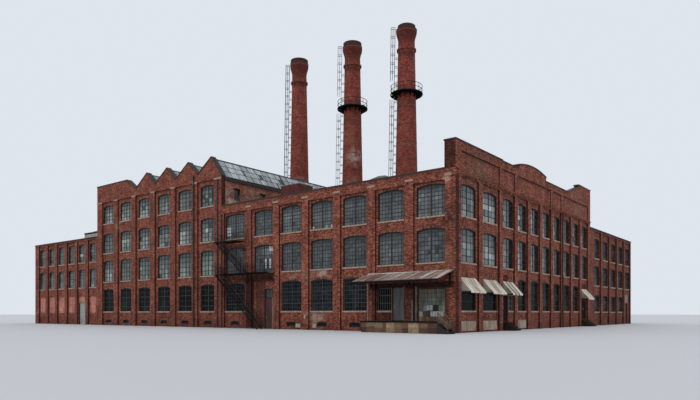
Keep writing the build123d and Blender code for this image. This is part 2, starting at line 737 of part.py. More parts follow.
def wing_infills():
    """Brick that closes the ground openings of the west wing."""
    depth = (PIER_PROJECTION + INFILL_SETBACK, PIER_PROJECTION + INFILL_SETBACK + INFILL)
    return [FRONT.slab(outline, depth) for outline in infill_outlines()]


def wing_back_walls():
    """End and court walls of the west wing."""
    z = (0, WING_PARAPET)
    west = plain(WING_WEST, (WALL, WING_DEPTH), z, holes_of(WING_WEST_ROWS))
    rear = plain(WING_REAR, (SAW_END, WING_END - WALL), z, holes_of(WING_REAR_ROWS))
    return [west, rear]


def court_walls():
    """Walls that face the court: the corner block's two, three storeys high."""
    z = (0, FRONT_PARAPET)
    front_range = plain(COURT, (SIDE_RANGE_WIDTH, SAW_START), z, holes_of(COURT_ROWS))
    side_u = (FRONT_DEPTH - WALL, SIDE_LENGTH - WALL)
    side_range = plain(RANGE_COURT, side_u, z, holes_of(RANGE_COURT_ROWS))
    return [front_range, side_range]


def side_end_wall():
    """The end wall of the corner block, as tall as the side parapet."""
    return RANGE_END.box((WALL, SIDE_RANGE_WIDTH), (0, WALL), (0, SIDE_PARAPET))


def rear_doorway_outline():
    return rectangle(REAR_DOORWAY, (0, REAR_DOORWAY_HEAD))


def rear_wing_street_wall():
    holes = holes_of(REAR_ROWS) + [rear_doorway_outline()]
    return panelled(SIDE, (SIDE_LENGTH, REAR_WING_END), (0, REAR_WING_PARAPET), holes, REAR_PIERS)


def rear_wing_back_walls():
    """Court and end walls of the rear wing."""
    z = (0, REAR_WING_PARAPET)
    court = plain(REAR_COURT, (SIDE_LENGTH, REAR_WING_END - WALL), z, holes_of(REAR_COURT_ROWS))
    end = plain(REAR_END, (WALL, REAR_WING_WIDTH), z, holes_of(REAR_END_ROWS))
    return [court, end]


def slab_box(u, b, z):
    """A level slab between two distances west, two distances back and two heights."""
    return FRONT.box(u, b, z)


def ground_floor():
    """Ground slabs at dock level, left open over a small well inside the fire escape door."""
    z = (GROUND_FLOOR - GROUND_SLAB, GROUND_FLOOR)
    back = FRONT_DEPTH - WALL
    return [
        slab_box((WALL, WELL[0]), (WALL, back), z),
        slab_box(WELL, (WALL + WELL_DEPTH, back), z),
        slab_box((WELL[1], SAW_END - WALL), (WALL, back), z),
        slab_box((WALL, SIDE_RANGE_WIDTH - WALL), (back, SIDE_LENGTH - WALL), z),
        slab_box((WALL, REAR_WING_WIDTH - WALL), (SIDE_LENGTH, REAR_WING_END - WALL), z),
        slab_box((SAW_END, WING_END - WALL), (WALL, WING_DEPTH - WALL), z),
    ]


def upper_floor(level, wing_level):
    """One upper floor of the corner and sawtooth blocks, and of both low wings."""
    z = (level - SLAB, level)
    wing_z = (wing_level - SLAB, wing_level)
    back = FRONT_DEPTH - WALL
    return [
        slab_box((WALL, SAW_END - WALL), (WALL, back), z),
        slab_box((WALL, SIDE_RANGE_WIDTH - WALL), (back, SIDE_LENGTH - WALL), z),
        slab_box((WALL, REAR_WING_WIDTH - WALL), (SIDE_LENGTH, REAR_WING_END - WALL), wing_z),
        slab_box((SAW_END, WING_END - WALL), (WALL, WING_DEPTH - WALL), wing_z),
    ]


def upper_floors():
    """The second and third floors everywhere, and the sawtooth block's fourth."""
    top_z = (UPPER_FLOORS[2] - SLAB, UPPER_FLOORS[2])
    fourth = slab_box((SAW_START, SAW_END - WALL), (WALL, FRONT_DEPTH - WALL), top_z)
    lower = [slab for levels in zip(UPPER_FLOORS, WING_FLOORS) for slab in upper_floor(*levels)]
    return lower + [fourth]


def flat_roofs():
    """Flat roofs behind the parapets, with the flat end of the sawtooth block."""
    z = (MAIN_ROOF - SLAB, MAIN_ROOF)
    wing_z = (WING_ROOF - SLAB, WING_ROOF)
    back = FRONT_DEPTH - WALL
    teeth_end = SAW_START + TOOTH_COUNT * TOOTH_PITCH
    saw_roof = TOOTH_VALLEY - ROOF_BELOW_COPING
    return [
        slab_box((WALL, SAW_START), (WALL, back), z),
        slab_box((WALL, SIDE_RANGE_WIDTH - WALL), (back, SIDE_LENGTH - WALL), z),
        slab_box((WALL, REAR_WING_WIDTH - WALL), (SIDE_LENGTH, REAR_WING_END - WALL), wing_z),
        slab_box((SAW_END, WING_END - WALL), (WALL, WING_DEPTH - WALL), wing_z),
        slab_box((teeth_end, SAW_END - WALL), (WALL, back), (saw_roof - SLAB, saw_roof)),
    ]


def tooth_sheet(low, high):
    """A sloping sheet between two gable points, a little below the copings, from gable to gable."""
    drop = ROOF_BELOW_COPING
    points = [
        (low[0], low[1] - drop),
        (high[0], high[1] - drop),
        (high[0], high[1] - drop - ROOF_SHEET),
        (low[0], low[1] - drop - ROOF_SHEET),
    ]
    face = make_face(Polyline(*points, close=True).edges())
    return FRONT.slab(face, (WALL, FRONT_DEPTH - WALL))


def saw_roof_lights():
    """Glazed steep slopes of the teeth."""
    points = tooth_points()
    return [tooth_sheet(points[2 * i], points[2 * i + 1]) for i in range(TOOTH_COUNT)]


def saw_roof_slopes():
    """Boarded slopes of the teeth, on the west of each ridge."""
    points = tooth_points()
    return [tooth_sheet(points[2 * i + 1], points[2 * i + 2]) for i in range(TOOTH_COUNT)]


def saw_ridges():
    """A bent ridge sheet along each tooth, lying on its two slopes between the gables."""
    points = tooth_points()
    ridges = []
    for i in range(TOOTH_COUNT):
        low, peak, valley = points[2 * i], points[2 * i + 1], points[2 * i + 2]
        steep_drop = RIDGE_HALF * (peak[1] - low[1]) / (peak[0] - low[0])
        slope_drop = RIDGE_HALF * (peak[1] - valley[1]) / (valley[0] - peak[0])
        top = peak[1] - ROOF_BELOW_COPING
        left = (peak[0] - RIDGE_HALF, top - steep_drop)
        right = (peak[0] + RIDGE_HALF, top - slope_drop)
        under = [left, (peak[0], top), right]
        over = [(u, z + RIDGE_SHEET) for u, z in reversed(under)]
        face = make_face(Polyline(*under, *over, close=True).edges())
        ridges.append(FRONT.slab(face, (COPING_DEPTH[1], FRONT_DEPTH - COPING_DEPTH[1])))
    return ridges


def coping_run(facade, u, z):
    """A flat coping along part of a wall's top, a little proud of both its faces."""
    return facade.box(u, COPING_DEPTH, (z, z + COPING))


def side_coping():
    """A coping that follows every step, the pediment's arc and the ramp of the side parapet."""
    outline = side_parapet_outline()
    cap = (Pos(0, COPING) * outline) - outline
    body = SIDE.slab(cap, COPING_DEPTH)
    pier = FRONT.box(
        (-COPING_OVERHANG, CORNER_PIER_WIDTH + COPING_OVERHANG),
        (-COPING_OVERHANG, WALL),
        (SIDE_PARAPET, SIDE_PARAPET + COPING),
    )
    return body + pier


def saw_copings():
    """Stone copings along both zigzag gables and along the sawtooth block's west wall."""
    outline = gable_outline()
    cap = (Pos(0, COPING) * outline) - outline
    west = coping_run(SAW_WEST, (COPING_DEPTH[1], FRONT_DEPTH - COPING_DEPTH[1]), SAW_FLAT_TOP)
    return [FRONT.slab(cap, COPING_DEPTH), COURT.slab(cap, COPING_DEPTH), west]


def level_copings():
    """Copings of the front, the court walls, the end wall and both low wings."""
    over, inner = COPING_OVERHANG, COPING_DEPTH[1]
    return [
        coping_run(FRONT, (CORNER_PIER_WIDTH, SAW_START), FRONT_PARAPET),
        coping_run(COURT, (SIDE_RANGE_WIDTH + over, SAW_START), FRONT_PARAPET),
        coping_run(RANGE_COURT, (FRONT_DEPTH - inner, SIDE_LENGTH - WALL), FRONT_PARAPET),
        coping_run(RANGE_END, (inner, SIDE_RANGE_WIDTH + over), SIDE_PARAPET),
        coping_run(FRONT, (SAW_END, WING_END + over), WING_PARAPET),
        coping_run(WING_WEST, (inner, WING_DEPTH + over), WING_PARAPET),
        coping_run(WING_REAR, (SAW_END, WING_END - inner), WING_PARAPET),
        coping_run(SIDE, (SIDE_LENGTH, REAR_WING_END + over), REAR_WING_PARAPET),
        coping_run(REAR_END, (inner, REAR_WING_WIDTH + over), REAR_WING_PARAPET),
        coping_run(REAR_COURT, (SIDE_LENGTH, REAR_WING_END - inner), REAR_WING_PARAPET),
    ]


def copings():
    return [side_coping()] + saw_copings() + level_copings()


def stack_radius(z):
    """Outer radius of a stack's tapered shaft at a height."""
    share = min(1, (z - PLINTH_HEIGHT) / (NECK_HEIGHT - PLINTH_HEIGHT))
    return STACK_FOOT_RADIUS + (STACK_NECK_RADIUS - STACK_FOOT_RADIUS) * share


def lathe(lines):
    """A round body turned from the edges of an outline of (radius, z) points."""
    return revolve(Plane.XZ * make_face(lines.edges()), axis=Axis.Z)


def collar():
    """A projecting ring of brick courses round the shaft, below the crown."""
    foot = STACK_HEIGHT - COLLAR_BELOW_TOP
    head = foot + COLLAR_HEIGHT
    outer = stack_radius(foot) + COLLAR_PROJECTION
    inner = STACK_NECK_RADIUS - STACK_WALL / 2
    return lathe(Polyline((inner, foot), (outer, foot), (outer, head), (inner, head), close=True))


def stack(centre):
    """A tapered round shaft with an open flue, a bell-shaped crown and a cap, on a square plinth."""
    top = STACK_HEIGHT
    neck = (STACK_NECK_RADIUS, NECK_HEIGHT)
    shoulder = (STACK_CROWN_RADIUS, top - SHOULDER_BELOW_TOP)
    bell = Spline(neck, shoulder, tangents=[(0, 1), (0, 1)])
    flue = STACK_NECK_RADIUS - STACK_WALL
    rest = Polyline(
        shoulder,
        (STACK_CROWN_RADIUS, top - CROWN_BELOW_TOP),
        (STACK_CAP_RADIUS, top - CAP_BELOW_TOP),
        (STACK_CAP_RADIUS, top - CAP_BEVEL),
        (STACK_CAP_RADIUS - CAP_BEVEL, top),
        (flue, top),
        (flue, NECK_HEIGHT),
        (STACK_FOOT_RADIUS - STACK_WALL, PLINTH_HEIGHT),
        (STACK_FOOT_RADIUS, PLINTH_HEIGHT),
        neck,
    )
    shaft = lathe(bell + rest)
    plinth = Box(PLINTH_SIZE, PLINTH_SIZE, PLINTH_HEIGHT, align=(Align.CENTER, Align.CENTER, Align.MIN))
    return Pos(-centre, STACK_LINE, 0) * (shaft + collar() + plinth)


def stacks():
    return [stack(centre) for centre in STACK_CENTRES]


def gallery_bracket():
    """A triangular plate that carries the walkway, set upright against the shaft."""
    foot = GALLERY_HEIGHT - GALLERY_BRACKET
    head = GALLERY_HEIGHT - GALLERY_EDGE
    tip = GALLERY_RADIUS - BRACKET_INSET
    outline = Polyline(
        (stack_radius(foot) + 2 * SEAT_GAP, foot),
        (tip, head - BRACKET_EDGE),
        (tip, head),
        (stack_radius(head) + 2 * SEAT_GAP, head),
        close=True,
    )
    return extrude(Plane.XZ * make_face(outline.edges()), amount=BRACKET_PLATE / 2, both=True)


def gallery_rail(height):
    """A round rail just inside the walkway's edge, its top at a height."""
    outer = GALLERY_RADIUS - GALLERY_BAR
    inner = outer - GALLERY_BAR
    low = height - GALLERY_BAR
    return lathe(Polyline((inner, low), (outer, low), (outer, height), (inner, height), close=True))


def gallery(centre):
    """A railed walkway on brackets round a stack, with a hatch that the ladder passes through."""
    head = GALLERY_HEIGHT
    under = head - GALLERY_EDGE
    deck = lathe(Polyline(
        (stack_radius(under) + SEAT_GAP, under),
        (GALLERY_RADIUS, under),
        (GALLERY_RADIUS, head),
        (stack_radius(head) + SEAT_GAP, head),
        close=True,
    ))
    upright = (Align.CENTER, Align.CENTER, Align.MIN)
    hatch = Pos(-ladder_distance(head) + HATCH_MARGIN, 0, under) * Box(
        HATCH_DEPTH, LADDER_WIDTH + 2 * HATCH_MARGIN, GALLERY_EDGE, align=(Align.MAX, Align.CENTER, Align.MIN)
    )
    pieces = [gallery_rail(head + GALLERY_RAIL / 2), gallery_rail(head + GALLERY_RAIL)]
    middle = GALLERY_RADIUS - 1.5 * GALLERY_BAR
    post = Pos(middle, 0, head) * Box(GALLERY_POST, GALLERY_POST, GALLERY_RAIL, align=upright)
    for i in range(GALLERY_POSTS):
        turn = Rot(0, 0, 360 * (i + 0.5) / GALLERY_POSTS)
        pieces.append(turn * post)
        pieces.append(turn * gallery_bracket())
    return ladder_place(centre) * (deck - hatch + pieces)


def stack_galleries():
    return [gallery(centre) for centre in STACK_CENTRES[:GALLERY_COUNT]]


def ladder_place(centre):
    """Sets something drawn with its ladder on the west onto a stack, the ladder turned to the front."""
    return Pos(-centre, STACK_LINE, 0) * Rot(0, 0, LADDER_TURN)


def ladder_distance(z):
    """How far a ladder stands from the stack's axis at a height: clear of the crown, further at the foot."""
    high = STACK_CROWN_RADIUS + LADDER_CROWN_GAP
    low = stack_radius(LADDER_FOOT) + LADDER_FOOT_STANDOFF
    return low + (high - low) * (z - LADDER_FOOT) / (LADDER_HEAD - LADDER_FOOT)


def ladder_line():
    """The ladder's leaning plane: its origin at the foot, z up the ladder and y out from the shaft."""
    low = Vector(-ladder_distance(LADDER_FOOT), 0, LADDER_FOOT)
    high = Vector(-ladder_distance(LADDER_HEAD), 0, LADDER_HEAD)
    return Plane(low, x_dir=(0, 1, 0), z_dir=high - low), (high - low).length


def stay(side, z):
    """A level bar from a ladder rail to the shaft, ending just short of the bricks."""
    near = LADDER_WIDTH / 2 - LADDER_BAR / 2
    surface = (stack_radius(z - LADDER_BAR / 2) ** 2 - near ** 2) ** 0.5 + SEAT_GAP
    bar = Box(
        ladder_distance(z) - surface, LADDER_BAR, LADDER_BAR, align=(Align.MAX, Align.CENTER, Align.CENTER)
    )
    return Pos(-surface, side * LADDER_WIDTH / 2, z) * bar


def clear_of(height, low, high):
    """Whether a ladder bar at a height stays clear of a ring between two levels."""
    return height < low - LADDER_BAR or height > high + LADDER_BAR


def ladder(centre):
    """Two rails joined by rungs, held off the shaft by stays below the crown."""
    lean, length = ladder_line()
    rail = Box(LADDER_BAR, LADDER_BAR, length, align=(Align.CENTER, Align.CENTER, Align.MIN))
    bars = [lean * Pos(side * LADDER_WIDTH / 2, 0, 0) * rail for side in (-1, 1)]
    collar_foot = STACK_HEIGHT - COLLAR_BELOW_TOP
    count = int(length // CAGE_PITCH)
    for i in range(count):
        place = (i + 0.5) * length / count
        bars.append(lean * Pos(0, 0, place) * Box(LADDER_WIDTH, LADDER_BAR, LADDER_BAR))
        height = LADDER_FOOT + place
        below_crown = clear_of(height, NECK_HEIGHT, STACK_HEIGHT)
        beside_collar = not clear_of(height, collar_foot, collar_foot + COLLAR_HEIGHT)
        beside_gallery = not clear_of(height, GALLERY_HEIGHT - GALLERY_EDGE, GALLERY_HEIGHT)
        if below_crown and not beside_collar and not beside_gallery:
            bars += [stay(side, height) for side in (-1, 1)]
    return ladder_place(centre) * (bars[0] + bars[1:])


def cage(centre):
    """Square hoops round the climbing space, each from rail to rail, left out at a gallery."""
    lean, length = ladder_line()
    count = int(length // CAGE_PITCH)
    outer = Rectangle(LADDER_WIDTH + 3 * LADDER_BAR, CAGE_DEPTH)
    inner = Pos(0, -LADDER_BAR) * Rectangle(LADDER_WIDTH + LADDER_BAR, CAGE_DEPTH)
    hoop = extrude(outer - inner, amount=LADDER_BAR)
    low = GALLERY_HEIGHT - GALLERY_BRACKET
    high = GALLERY_HEIGHT + GALLERY_RAIL + GALLERY_BRACKET
    hoops = []
    for i in range(count):
        place = (i + 1) * length / count - 2 * LADDER_BAR
        free = centre not in STACK_CENTRES[:GALLERY_COUNT] or clear_of(LADDER_FOOT + place, low, high)
        if free:
            hoops.append(ladder_place(centre) * (lean * Pos(0, CAGE_DEPTH / 2, place) * hoop))
    return hoops


def stack_ladders():
    return [ladder(centre) for centre in STACK_CENTRES]


def ladder_cages():
    return [hoop for centre in STACK_CENTRES for hoop in cage(centre)]


def landing(u, z):
    """A grated landing with an edge frame, in front of the piers."""
    return FRONT.box(u, (-ESCAPE_LANE, 0), (z - ESCAPE_DECK, z))


def landing_bracket(start, level):
    """A sloping strut from a pier to the outer edge of a landing."""
    z = level - ESCAPE_DECK
    reach = -ESCAPE_LANE
    thick = 2 * ESCAPE_BAR
    outline = [(reach, z), (0, z + reach), (0, z + reach + thick), (reach + thick, z)]
    return FRONT.ramp(outline, (start, start + ESCAPE_BAR))


def escape_landings():
    """Two landings, each with a spur that meets its stair in the outer lane, and struts beneath."""
    low_z = (ESCAPE_LOW - ESCAPE_DECK, ESCAPE_LOW)
    high_z = (ESCAPE_HIGH - ESCAPE_DECK, ESCAPE_HIGH)
    high_start = ESCAPE_LEFT - ESCAPE_HIGH_LENGTH
    low = landing((ESCAPE_RIGHT, ESCAPE_LEFT), ESCAPE_LOW)
    low += FRONT.box((UPPER_HEAD, ESCAPE_LEFT), STAIR_LANE, low_z)
    low += FRONT.box((UPPER_FOOT - ESCAPE_SPUR, UPPER_FOOT + STRINGER_DEPTH), STAIR_LANE, low_z)
    for start in (ESCAPE_RIGHT, sum(FRONT_PIERS[-2]) / 2, ESCAPE_LEFT - ESCAPE_BAR):
        low += landing_bracket(start, ESCAPE_LOW)
    high = landing((high_start, ESCAPE_LEFT), ESCAPE_HIGH)
    high += FRONT.box((UPPER_HEAD, ESCAPE_LEFT), STAIR_LANE, high_z)
    for start in (high_start, ESCAPE_LEFT - ESCAPE_BAR):
        high += landing_bracket(start, ESCAPE_HIGH)
    return [low, high]


def stringers(head, foot, top, base):
    """The two sloping sides of a flight that goes down to the east."""
    side = [(head, top), (head, top - STRINGER_DEPTH), (foot + STRINGER_DEPTH, base), (foot, base)]
    face = make_face(Polyline(*side, close=True).edges())
    outer = FRONT.slab(face, (STAIR_LANE[0], STAIR_LANE[0] + ESCAPE_BAR))
    inner = FRONT.slab(face, (STAIR_LANE[1] - ESCAPE_BAR, STAIR_LANE[1]))
    return [outer, inner]


def treads(head, foot, top, base):
    """Level treads between the two sides of a flight."""
    lane = (STAIR_LANE[0] + ESCAPE_BAR, STAIR_LANE[1] - ESCAPE_BAR)
    count = round((top - base) / TREAD_RISE)
    steps = []
    for i in range(1, count):
        share = i / count
        u = foot + (head - foot) * share
        z = base + (top - base) * share
        steps.append(FRONT.box((u, u + TREAD_GOING), lane, (z - 3 * TREAD, z - 2 * TREAD)))
    return steps


def escape_stringers():
    return stringers(*UPPER_FLIGHT) + stringers(*LOWER_FLIGHT)


def escape_treads():
    return treads(*UPPER_FLIGHT) + treads(*LOWER_FLIGHT)


def rail_places(start, end):
    """Where the posts of a railing stand: one at each end and others evenly between."""
    count = max(1, round((end - start) / RAIL_POST_PITCH))
    return [start + (end - RAIL_BAR - start) * i / count for i in range(count + 1)]


def railing(head, foot, top, base, d):
    """Posts and two rails above a straight line that falls from head to foot along the front."""
    fall = (top - base) / (head - foot)

    def line(u):
        return base + (u - foot) * fall

    def strip(u, low, high):
        under = [(end, line(end) + low) for end in u]
        over = [(end, line(end) + high) for end in reversed(u)]
        return FRONT.slab(make_face(Polyline(*under, *over, close=True).edges()), (d, d + RAIL_BAR))

    rails = [strip((foot, head), height - RAIL_BAR, height) for height in (RAIL_HEIGHT / 2, RAIL_HEIGHT)]
    posts = [strip((u, u + RAIL_BAR), 0, RAIL_HEIGHT) for u in rail_places(foot, head)]
    return rails[0] + rails[1:] + posts


def end_railing(u, d, z):
    """Posts and two rails across the end of a landing, from one depth to another."""
    u = (u, u + RAIL_BAR)
    heights = (z + RAIL_HEIGHT / 2, z + RAIL_HEIGHT)
    rails = [FRONT.box(u, d, (height - RAIL_BAR, height)) for height in heights]
    posts = [FRONT.box(u, (place, place + RAIL_BAR), (z, z + RAIL_HEIGHT)) for place in rail_places(*d)]
    return rails[0] + rails[1:] + posts


def landing_railings():
    """Railings of the two landings, left open where a flight arrives."""
    edge = -ESCAPE_LANE
    outer = STAIR_LANE[0]
    low, high = ESCAPE_LOW, ESCAPE_HIGH
    high_start = ESCAPE_LEFT - ESCAPE_HIGH_LENGTH
    spur = UPPER_FOOT - ESCAPE_SPUR
    left = ESCAPE_LEFT - RAIL_BAR
    return [
        railing(UPPER_HEAD, high_start + RAIL_BAR, high, high, edge),
        end_railing(high_start, (edge, 0), high),
        railing(left, UPPER_HEAD, high, high, outer),
        end_railing(left, (outer, 0), high),
        railing(spur, ESCAPE_RIGHT + RAIL_BAR, low, low, edge),
        end_railing(ESCAPE_RIGHT, (edge, 0), low),
        railing(UPPER_FOOT, spur + RAIL_BAR, low, low, outer),
        end_railing(spur, (outer, edge), low),
        railing(UPPER_HEAD, UPPER_FOOT, low, low, edge),
        railing(left, UPPER_HEAD, low, low, outer),
        end_railing(left, (outer, 0), low),
    ]


def handrails():
    """Railings of the fire escape's landings and flights, and one beside the dock's steps."""
    sides = (STAIR_LANE[0], STAIR_LANE[1] - RAIL_BAR)
    flights = [railing(*flight, d) for flight in (UPPER_FLIGHT, LOWER_FLIGHT) for d in sides]
    low, high = STEP_SIDE[0][1], STEP_SIDE[1][1]
    edge = low + (high - low) * (DOCK_RIGHT - STEP_FOOT) / (STEP_HEAD - STEP_FOOT)
    dock = railing(DOCK_RIGHT, STEP_FOOT, edge, low, -DOCK_DEPTH)
    return landing_railings() + flights + [dock]


def loading_dock():
    """A raised dock: a solid face with a timber deck that stands over it, let in between the piers."""
    deck = FRONT.box(
        (DOCK_RIGHT, DOCK_LEFT), (-DOCK_DEPTH, PIER_PROJECTION), (GROUND_FLOOR - DOCK_DECK, GROUND_FLOOR)
    )
    face = FRONT.box(
        (DOCK_RIGHT + DOCK_DECK, DOCK_LEFT - DOCK_DECK),
        (-DOCK_DEPTH + DOCK_DECK, PIER_PROJECTION),
        (0, GROUND_FLOOR - DOCK_DECK),
    )
    piers = [FRONT.box(pier, (0, PIER_PROJECTION), (0, GROUND_FLOOR)) for pier in FRONT_PIERS[:3]]
    return deck + face - piers


def dock_steps():
    """Timber steps at the corner end of the dock: two cut sides with treads between them."""
    lane = (-DOCK_DEPTH, -DOCK_DEPTH + STEP_WIDTH)
    face = make_face(Polyline((STEP_FOOT, 0), *STEP_SIDE, (STEP_HEAD, 0), close=True).edges())
    between = (lane[0] + STEP_BOARD, lane[1] - STEP_BOARD)
    pieces = [FRONT.slab(face, (lane[0], between[0])), FRONT.slab(face, (between[1], lane[1]))]
    for i in range(1, STEP_COUNT):
        start = STEP_FOOT + STEP_GOING * (i - 1)
        z = STEP_RISE * i
        pieces.append(FRONT.box((start, start + STEP_GOING), between, (z - STEP_BOARD, z)))
    return pieces


def dock_canopy():
    """A lean-to roof sheet over the dock."""
    outline = [
        (0, CANOPY_WALL_HEIGHT),
        (-CANOPY_DEPTH, CANOPY_EAVE_HEIGHT),
        (-CANOPY_DEPTH, CANOPY_EAVE_HEIGHT - CANOPY_SHEET),
        (0, CANOPY_WALL_HEIGHT - CANOPY_SHEET),
    ]
    return FRONT.ramp(outline, (CANOPY_RIGHT, CANOPY_LEFT))


def canopy_frame():
    """Brackets from the piers under the canopy, and an eaves beam."""
    eave = CANOPY_EAVE_HEIGHT - CANOPY_SHEET
    slope = (CANOPY_WALL_HEIGHT - CANOPY_EAVE_HEIGHT) / CANOPY_DEPTH
    inner_z = eave + slope * CANOPY_BEAM
    front, back = -CANOPY_DEPTH, -CANOPY_DEPTH + CANOPY_BEAM
    section = [(front, eave), (front, eave - CANOPY_BEAM), (back, eave - CANOPY_BEAM), (back, inner_z)]
    frame = FRONT.ramp(section, (CANOPY_RIGHT, CANOPY_LEFT))
    wall_z = CANOPY_WALL_HEIGHT - CANOPY_SHEET
    brace = [
        (0, wall_z),
        (back, inner_z),
        (back, inner_z - CANOPY_BEAM),
        (-CANOPY_BEAM, wall_z - 2 * CANOPY_BEAM),
        (-CANOPY_BEAM, wall_z - CANOPY_BRACE_DEPTH),
        (0, wall_z - CANOPY_BRACE_DEPTH),
    ]
    for pier in FRONT_PIERS[:3]:
        frame += FRONT.ramp(brace, span(sum(pier) / 2, CANOPY_BRACE))
    return frame


def awning(centre, width):
    """A sloping awning with closed cheeks, hollow beneath."""
    back = PIER_PROJECTION
    drop = 3 * AWNING_CLOTH
    outline = [(back, AWNING_TOP), (-AWNING_REACH, AWNING_FOOT), (back, AWNING_FOOT)]
    inside = [(back, AWNING_TOP - drop), (drop - AWNING_REACH, AWNING_FOOT), (back, AWNING_FOOT)]
    u = span(centre, width)
    hollow = SIDE.ramp(inside, (u[0] + AWNING_CLOTH, u[1] - AWNING_CLOTH))
    return SIDE.ramp(outline, u) - hollow


def awnings():
    narrow = [NARROW_BAYS[0], NARROW_BAYS[-1]]
    wide = [awning(u, AWNING_WIDTH) for u, _ in WIDE_BAYS]
    return wide + [awning(u, AWNING_NARROW_WIDTH) for u, _ in narrow]


def leaf(facade, hinge, free, z):
    """A door leaf between its hinged and free jambs, with the two knuckles that it hangs by."""
    toward = 1 if free > hinge else -1
    d = (DOOR_DEPTH, DOOR_DEPTH + DOOR_LEAF)
    low, high = z[0] + DOOR_GAP, z[1] - DOOR_GAP
    door = facade.box((hinge + toward * DOOR_GAP, free - toward * DOOR_GAP), d, (low, high))
    for share in HINGE_PLACES:
        foot = low + share * (high - low)
        axis = facade.point(hinge + toward * (HINGE_RADIUS + SEAT_GAP), DOOR_DEPTH, foot)
        align = (Align.CENTER, Align.CENTER, Align.MIN)
        door += Pos(*axis) * Cylinder(HINGE_RADIUS, HINGE_LENGTH, align=align)
    return door


def dock_door():
    """Hinged on the corner side of its doorway."""
    return leaf(FRONT, *DOCK_DOOR, (GROUND_FLOOR, DOCK_DOOR_HEAD))


def escape_door():
    """Hinged on the corner side of its doorway."""
    return leaf(FRONT, *ESCAPE_DOOR, (0, ESCAPE_DOOR_HEAD))


def side_door():
    """Hinged on the far side of its doorway."""
    return leaf(SIDE, SIDE_DOOR[1], SIDE_DOOR[0], (GROUND_FLOOR, SIDE_DOOR_HEAD))


def pair_door_near():
    return leaf(SIDE, PAIR_DOOR[0], PAIR_DOOR_CENTRE, (GROUND_FLOOR, PAIR_DOOR_HEAD))


def pair_door_far():
    return leaf(SIDE, PAIR_DOOR[1], PAIR_DOOR_CENTRE, (GROUND_FLOOR, PAIR_DOOR_HEAD))


def stoop(door):
    """Stone steps up to a door of the side street."""
    u = (door[0] - STOOP_MARGIN, door[1] + STOOP_MARGIN)
    rise = GROUND_FLOOR / (STOOP_STEPS + 1)
    steps = []
    for i in range(STOOP_STEPS):
        reach = STOOP_GOING * (STOOP_STEPS - i)
        steps.append(SIDE.box(u, (-reach, PIER_PROJECTION), (rise * i, rise * (i + 1))))
    return steps[0] + steps[1:]


def side_stoops():
    return [stoop(SIDE_DOOR), stoop(PAIR_DOOR)]


def base_panels():
    """Flat stone plates on the foot of three side street bays."""
    depth = (PIER_PROJECTION - BASE_PANEL, PIER_PROJECTION)
    z = (BASE_PANEL_FOOT, BASE_PANEL_FOOT + BASE_PANEL_HEIGHT)
    return [SIDE.box(span(*SIDE_BAYS[i]), depth, z) for i in BASE_PANEL_BAYS]


def closed_bays():
    """Fixed boarding: the wide dock bay, the west wing's boarded bay and the rear wing's end doorway."""
    depth = (PANE_DEPTH[0], PANE_DEPTH[0] + DOOR_LEAF)
    return [
        FRONT.box((DOCK_BAY_RIGHT, DOCK_BAY_LEFT), depth, (GROUND_FLOOR, DOCK_BAY_HEAD)),
        FRONT.slab(boarded_outline(), depth),
        SIDE.slab(rear_doorway_outline(), depth),
    ]


def panes_of(rows):
    return [pane for row in rows for pane in row.glass()]


def sills_of(rows):
    return [sill for row in rows for sill in row.sills()]


def basement_glazing():
    holes = basement_holes(BASEMENT_BAYS + SAW_BAYS)
    return [FRONT.slab(hole, PANE_DEPTH) for hole in holes]


def odd_panes():
    """Panes of the dock window, the escape door's transom and the side door's sidelight."""
    return [
        FRONT.box((DOCK_WINDOW_RIGHT, DOCK_WINDOW_LEFT), PANE_DEPTH, (SILL_TOPS[0], DOCK_WINDOW_HEAD)),
        FRONT.box(ESCAPE_DOOR, PANE_DEPTH, (ESCAPE_DOOR_HEAD, ESCAPE_HEAD)),
        SIDE.box(SIDELIGHT, PANE_DEPTH, (SILL_TOPS[0], SIDE_DOOR_HEAD)),
    ]


STREET_ROWS = [FRONT_GROUND, SIDE_GROUND] + FRONT_UPPER_ROWS + SIDE_UPPER_ROWS
STREET_ROWS += SAW_ROWS + WING_ROWS + REAR_ROWS
BACK_ROWS = COURT_ROWS + SAW_COURT_ROWS + RANGE_COURT_ROWS + REAR_COURT_ROWS + REAR_END_ROWS
BACK_ROWS += WING_WEST_ROWS + WING_REAR_ROWS + PARTY_ROWS


def street_glazing():
    """One pane in every opening that faces a street."""
    return panes_of(STREET_ROWS) + odd_panes() + basement_glazing()


def court_glazing():
    """One pane in every opening that faces the court or a roof."""
    return panes_of(BACK_ROWS)


def window_sills():
    """Stone sills of every street window, the dock window and the sidelight among them."""
    dock_window = stone_sill(
        FRONT, (DOCK_WINDOW_RIGHT + DOCK_WINDOW_LEFT) / 2, DOCK_WINDOW_LEFT - DOCK_WINDOW_RIGHT, SILL_TOPS[0]
    )
    sidelight = stone_sill(SIDE, sum(SIDELIGHT) / 2, SIDELIGHT[1] - SIDELIGHT[0], SILL_TOPS[0])
    return sills_of(STREET_ROWS) + [dock_window, sidelight]


def roof_monitor():
    """A boarded roof house over the corner block's west end."""
    u = span(SAW_START - MONITOR_MARGIN, MONITOR_LENGTH)
    d = (MONITOR_FRONT, MONITOR_FRONT + MONITOR_DEPTH)
    return FRONT.box(u, d, (MAIN_ROOF, MAIN_ROOF + MONITOR_HEIGHT))


def pitched(d, base, height, rise):
    """The cross-section of a small roof house: upright sides and a pitched top."""
    eave = base + height - rise
    return [(d[0], base), (d[0], eave), (sum(d) / 2, base + height), (d[1], eave), (d[1], base)]


def low_vent():
    """A low vent housing with a pitched lid."""
    d = (LOW_VENT_FRONT, LOW_VENT_FRONT + LOW_VENT_SIZE)
    outline = pitched(d, MAIN_ROOF, LOW_VENT_HEIGHT, LOW_VENT_RISE)
    return FRONT.ramp(outline, span(LOW_VENT_CENTRE, LOW_VENT_SIZE))


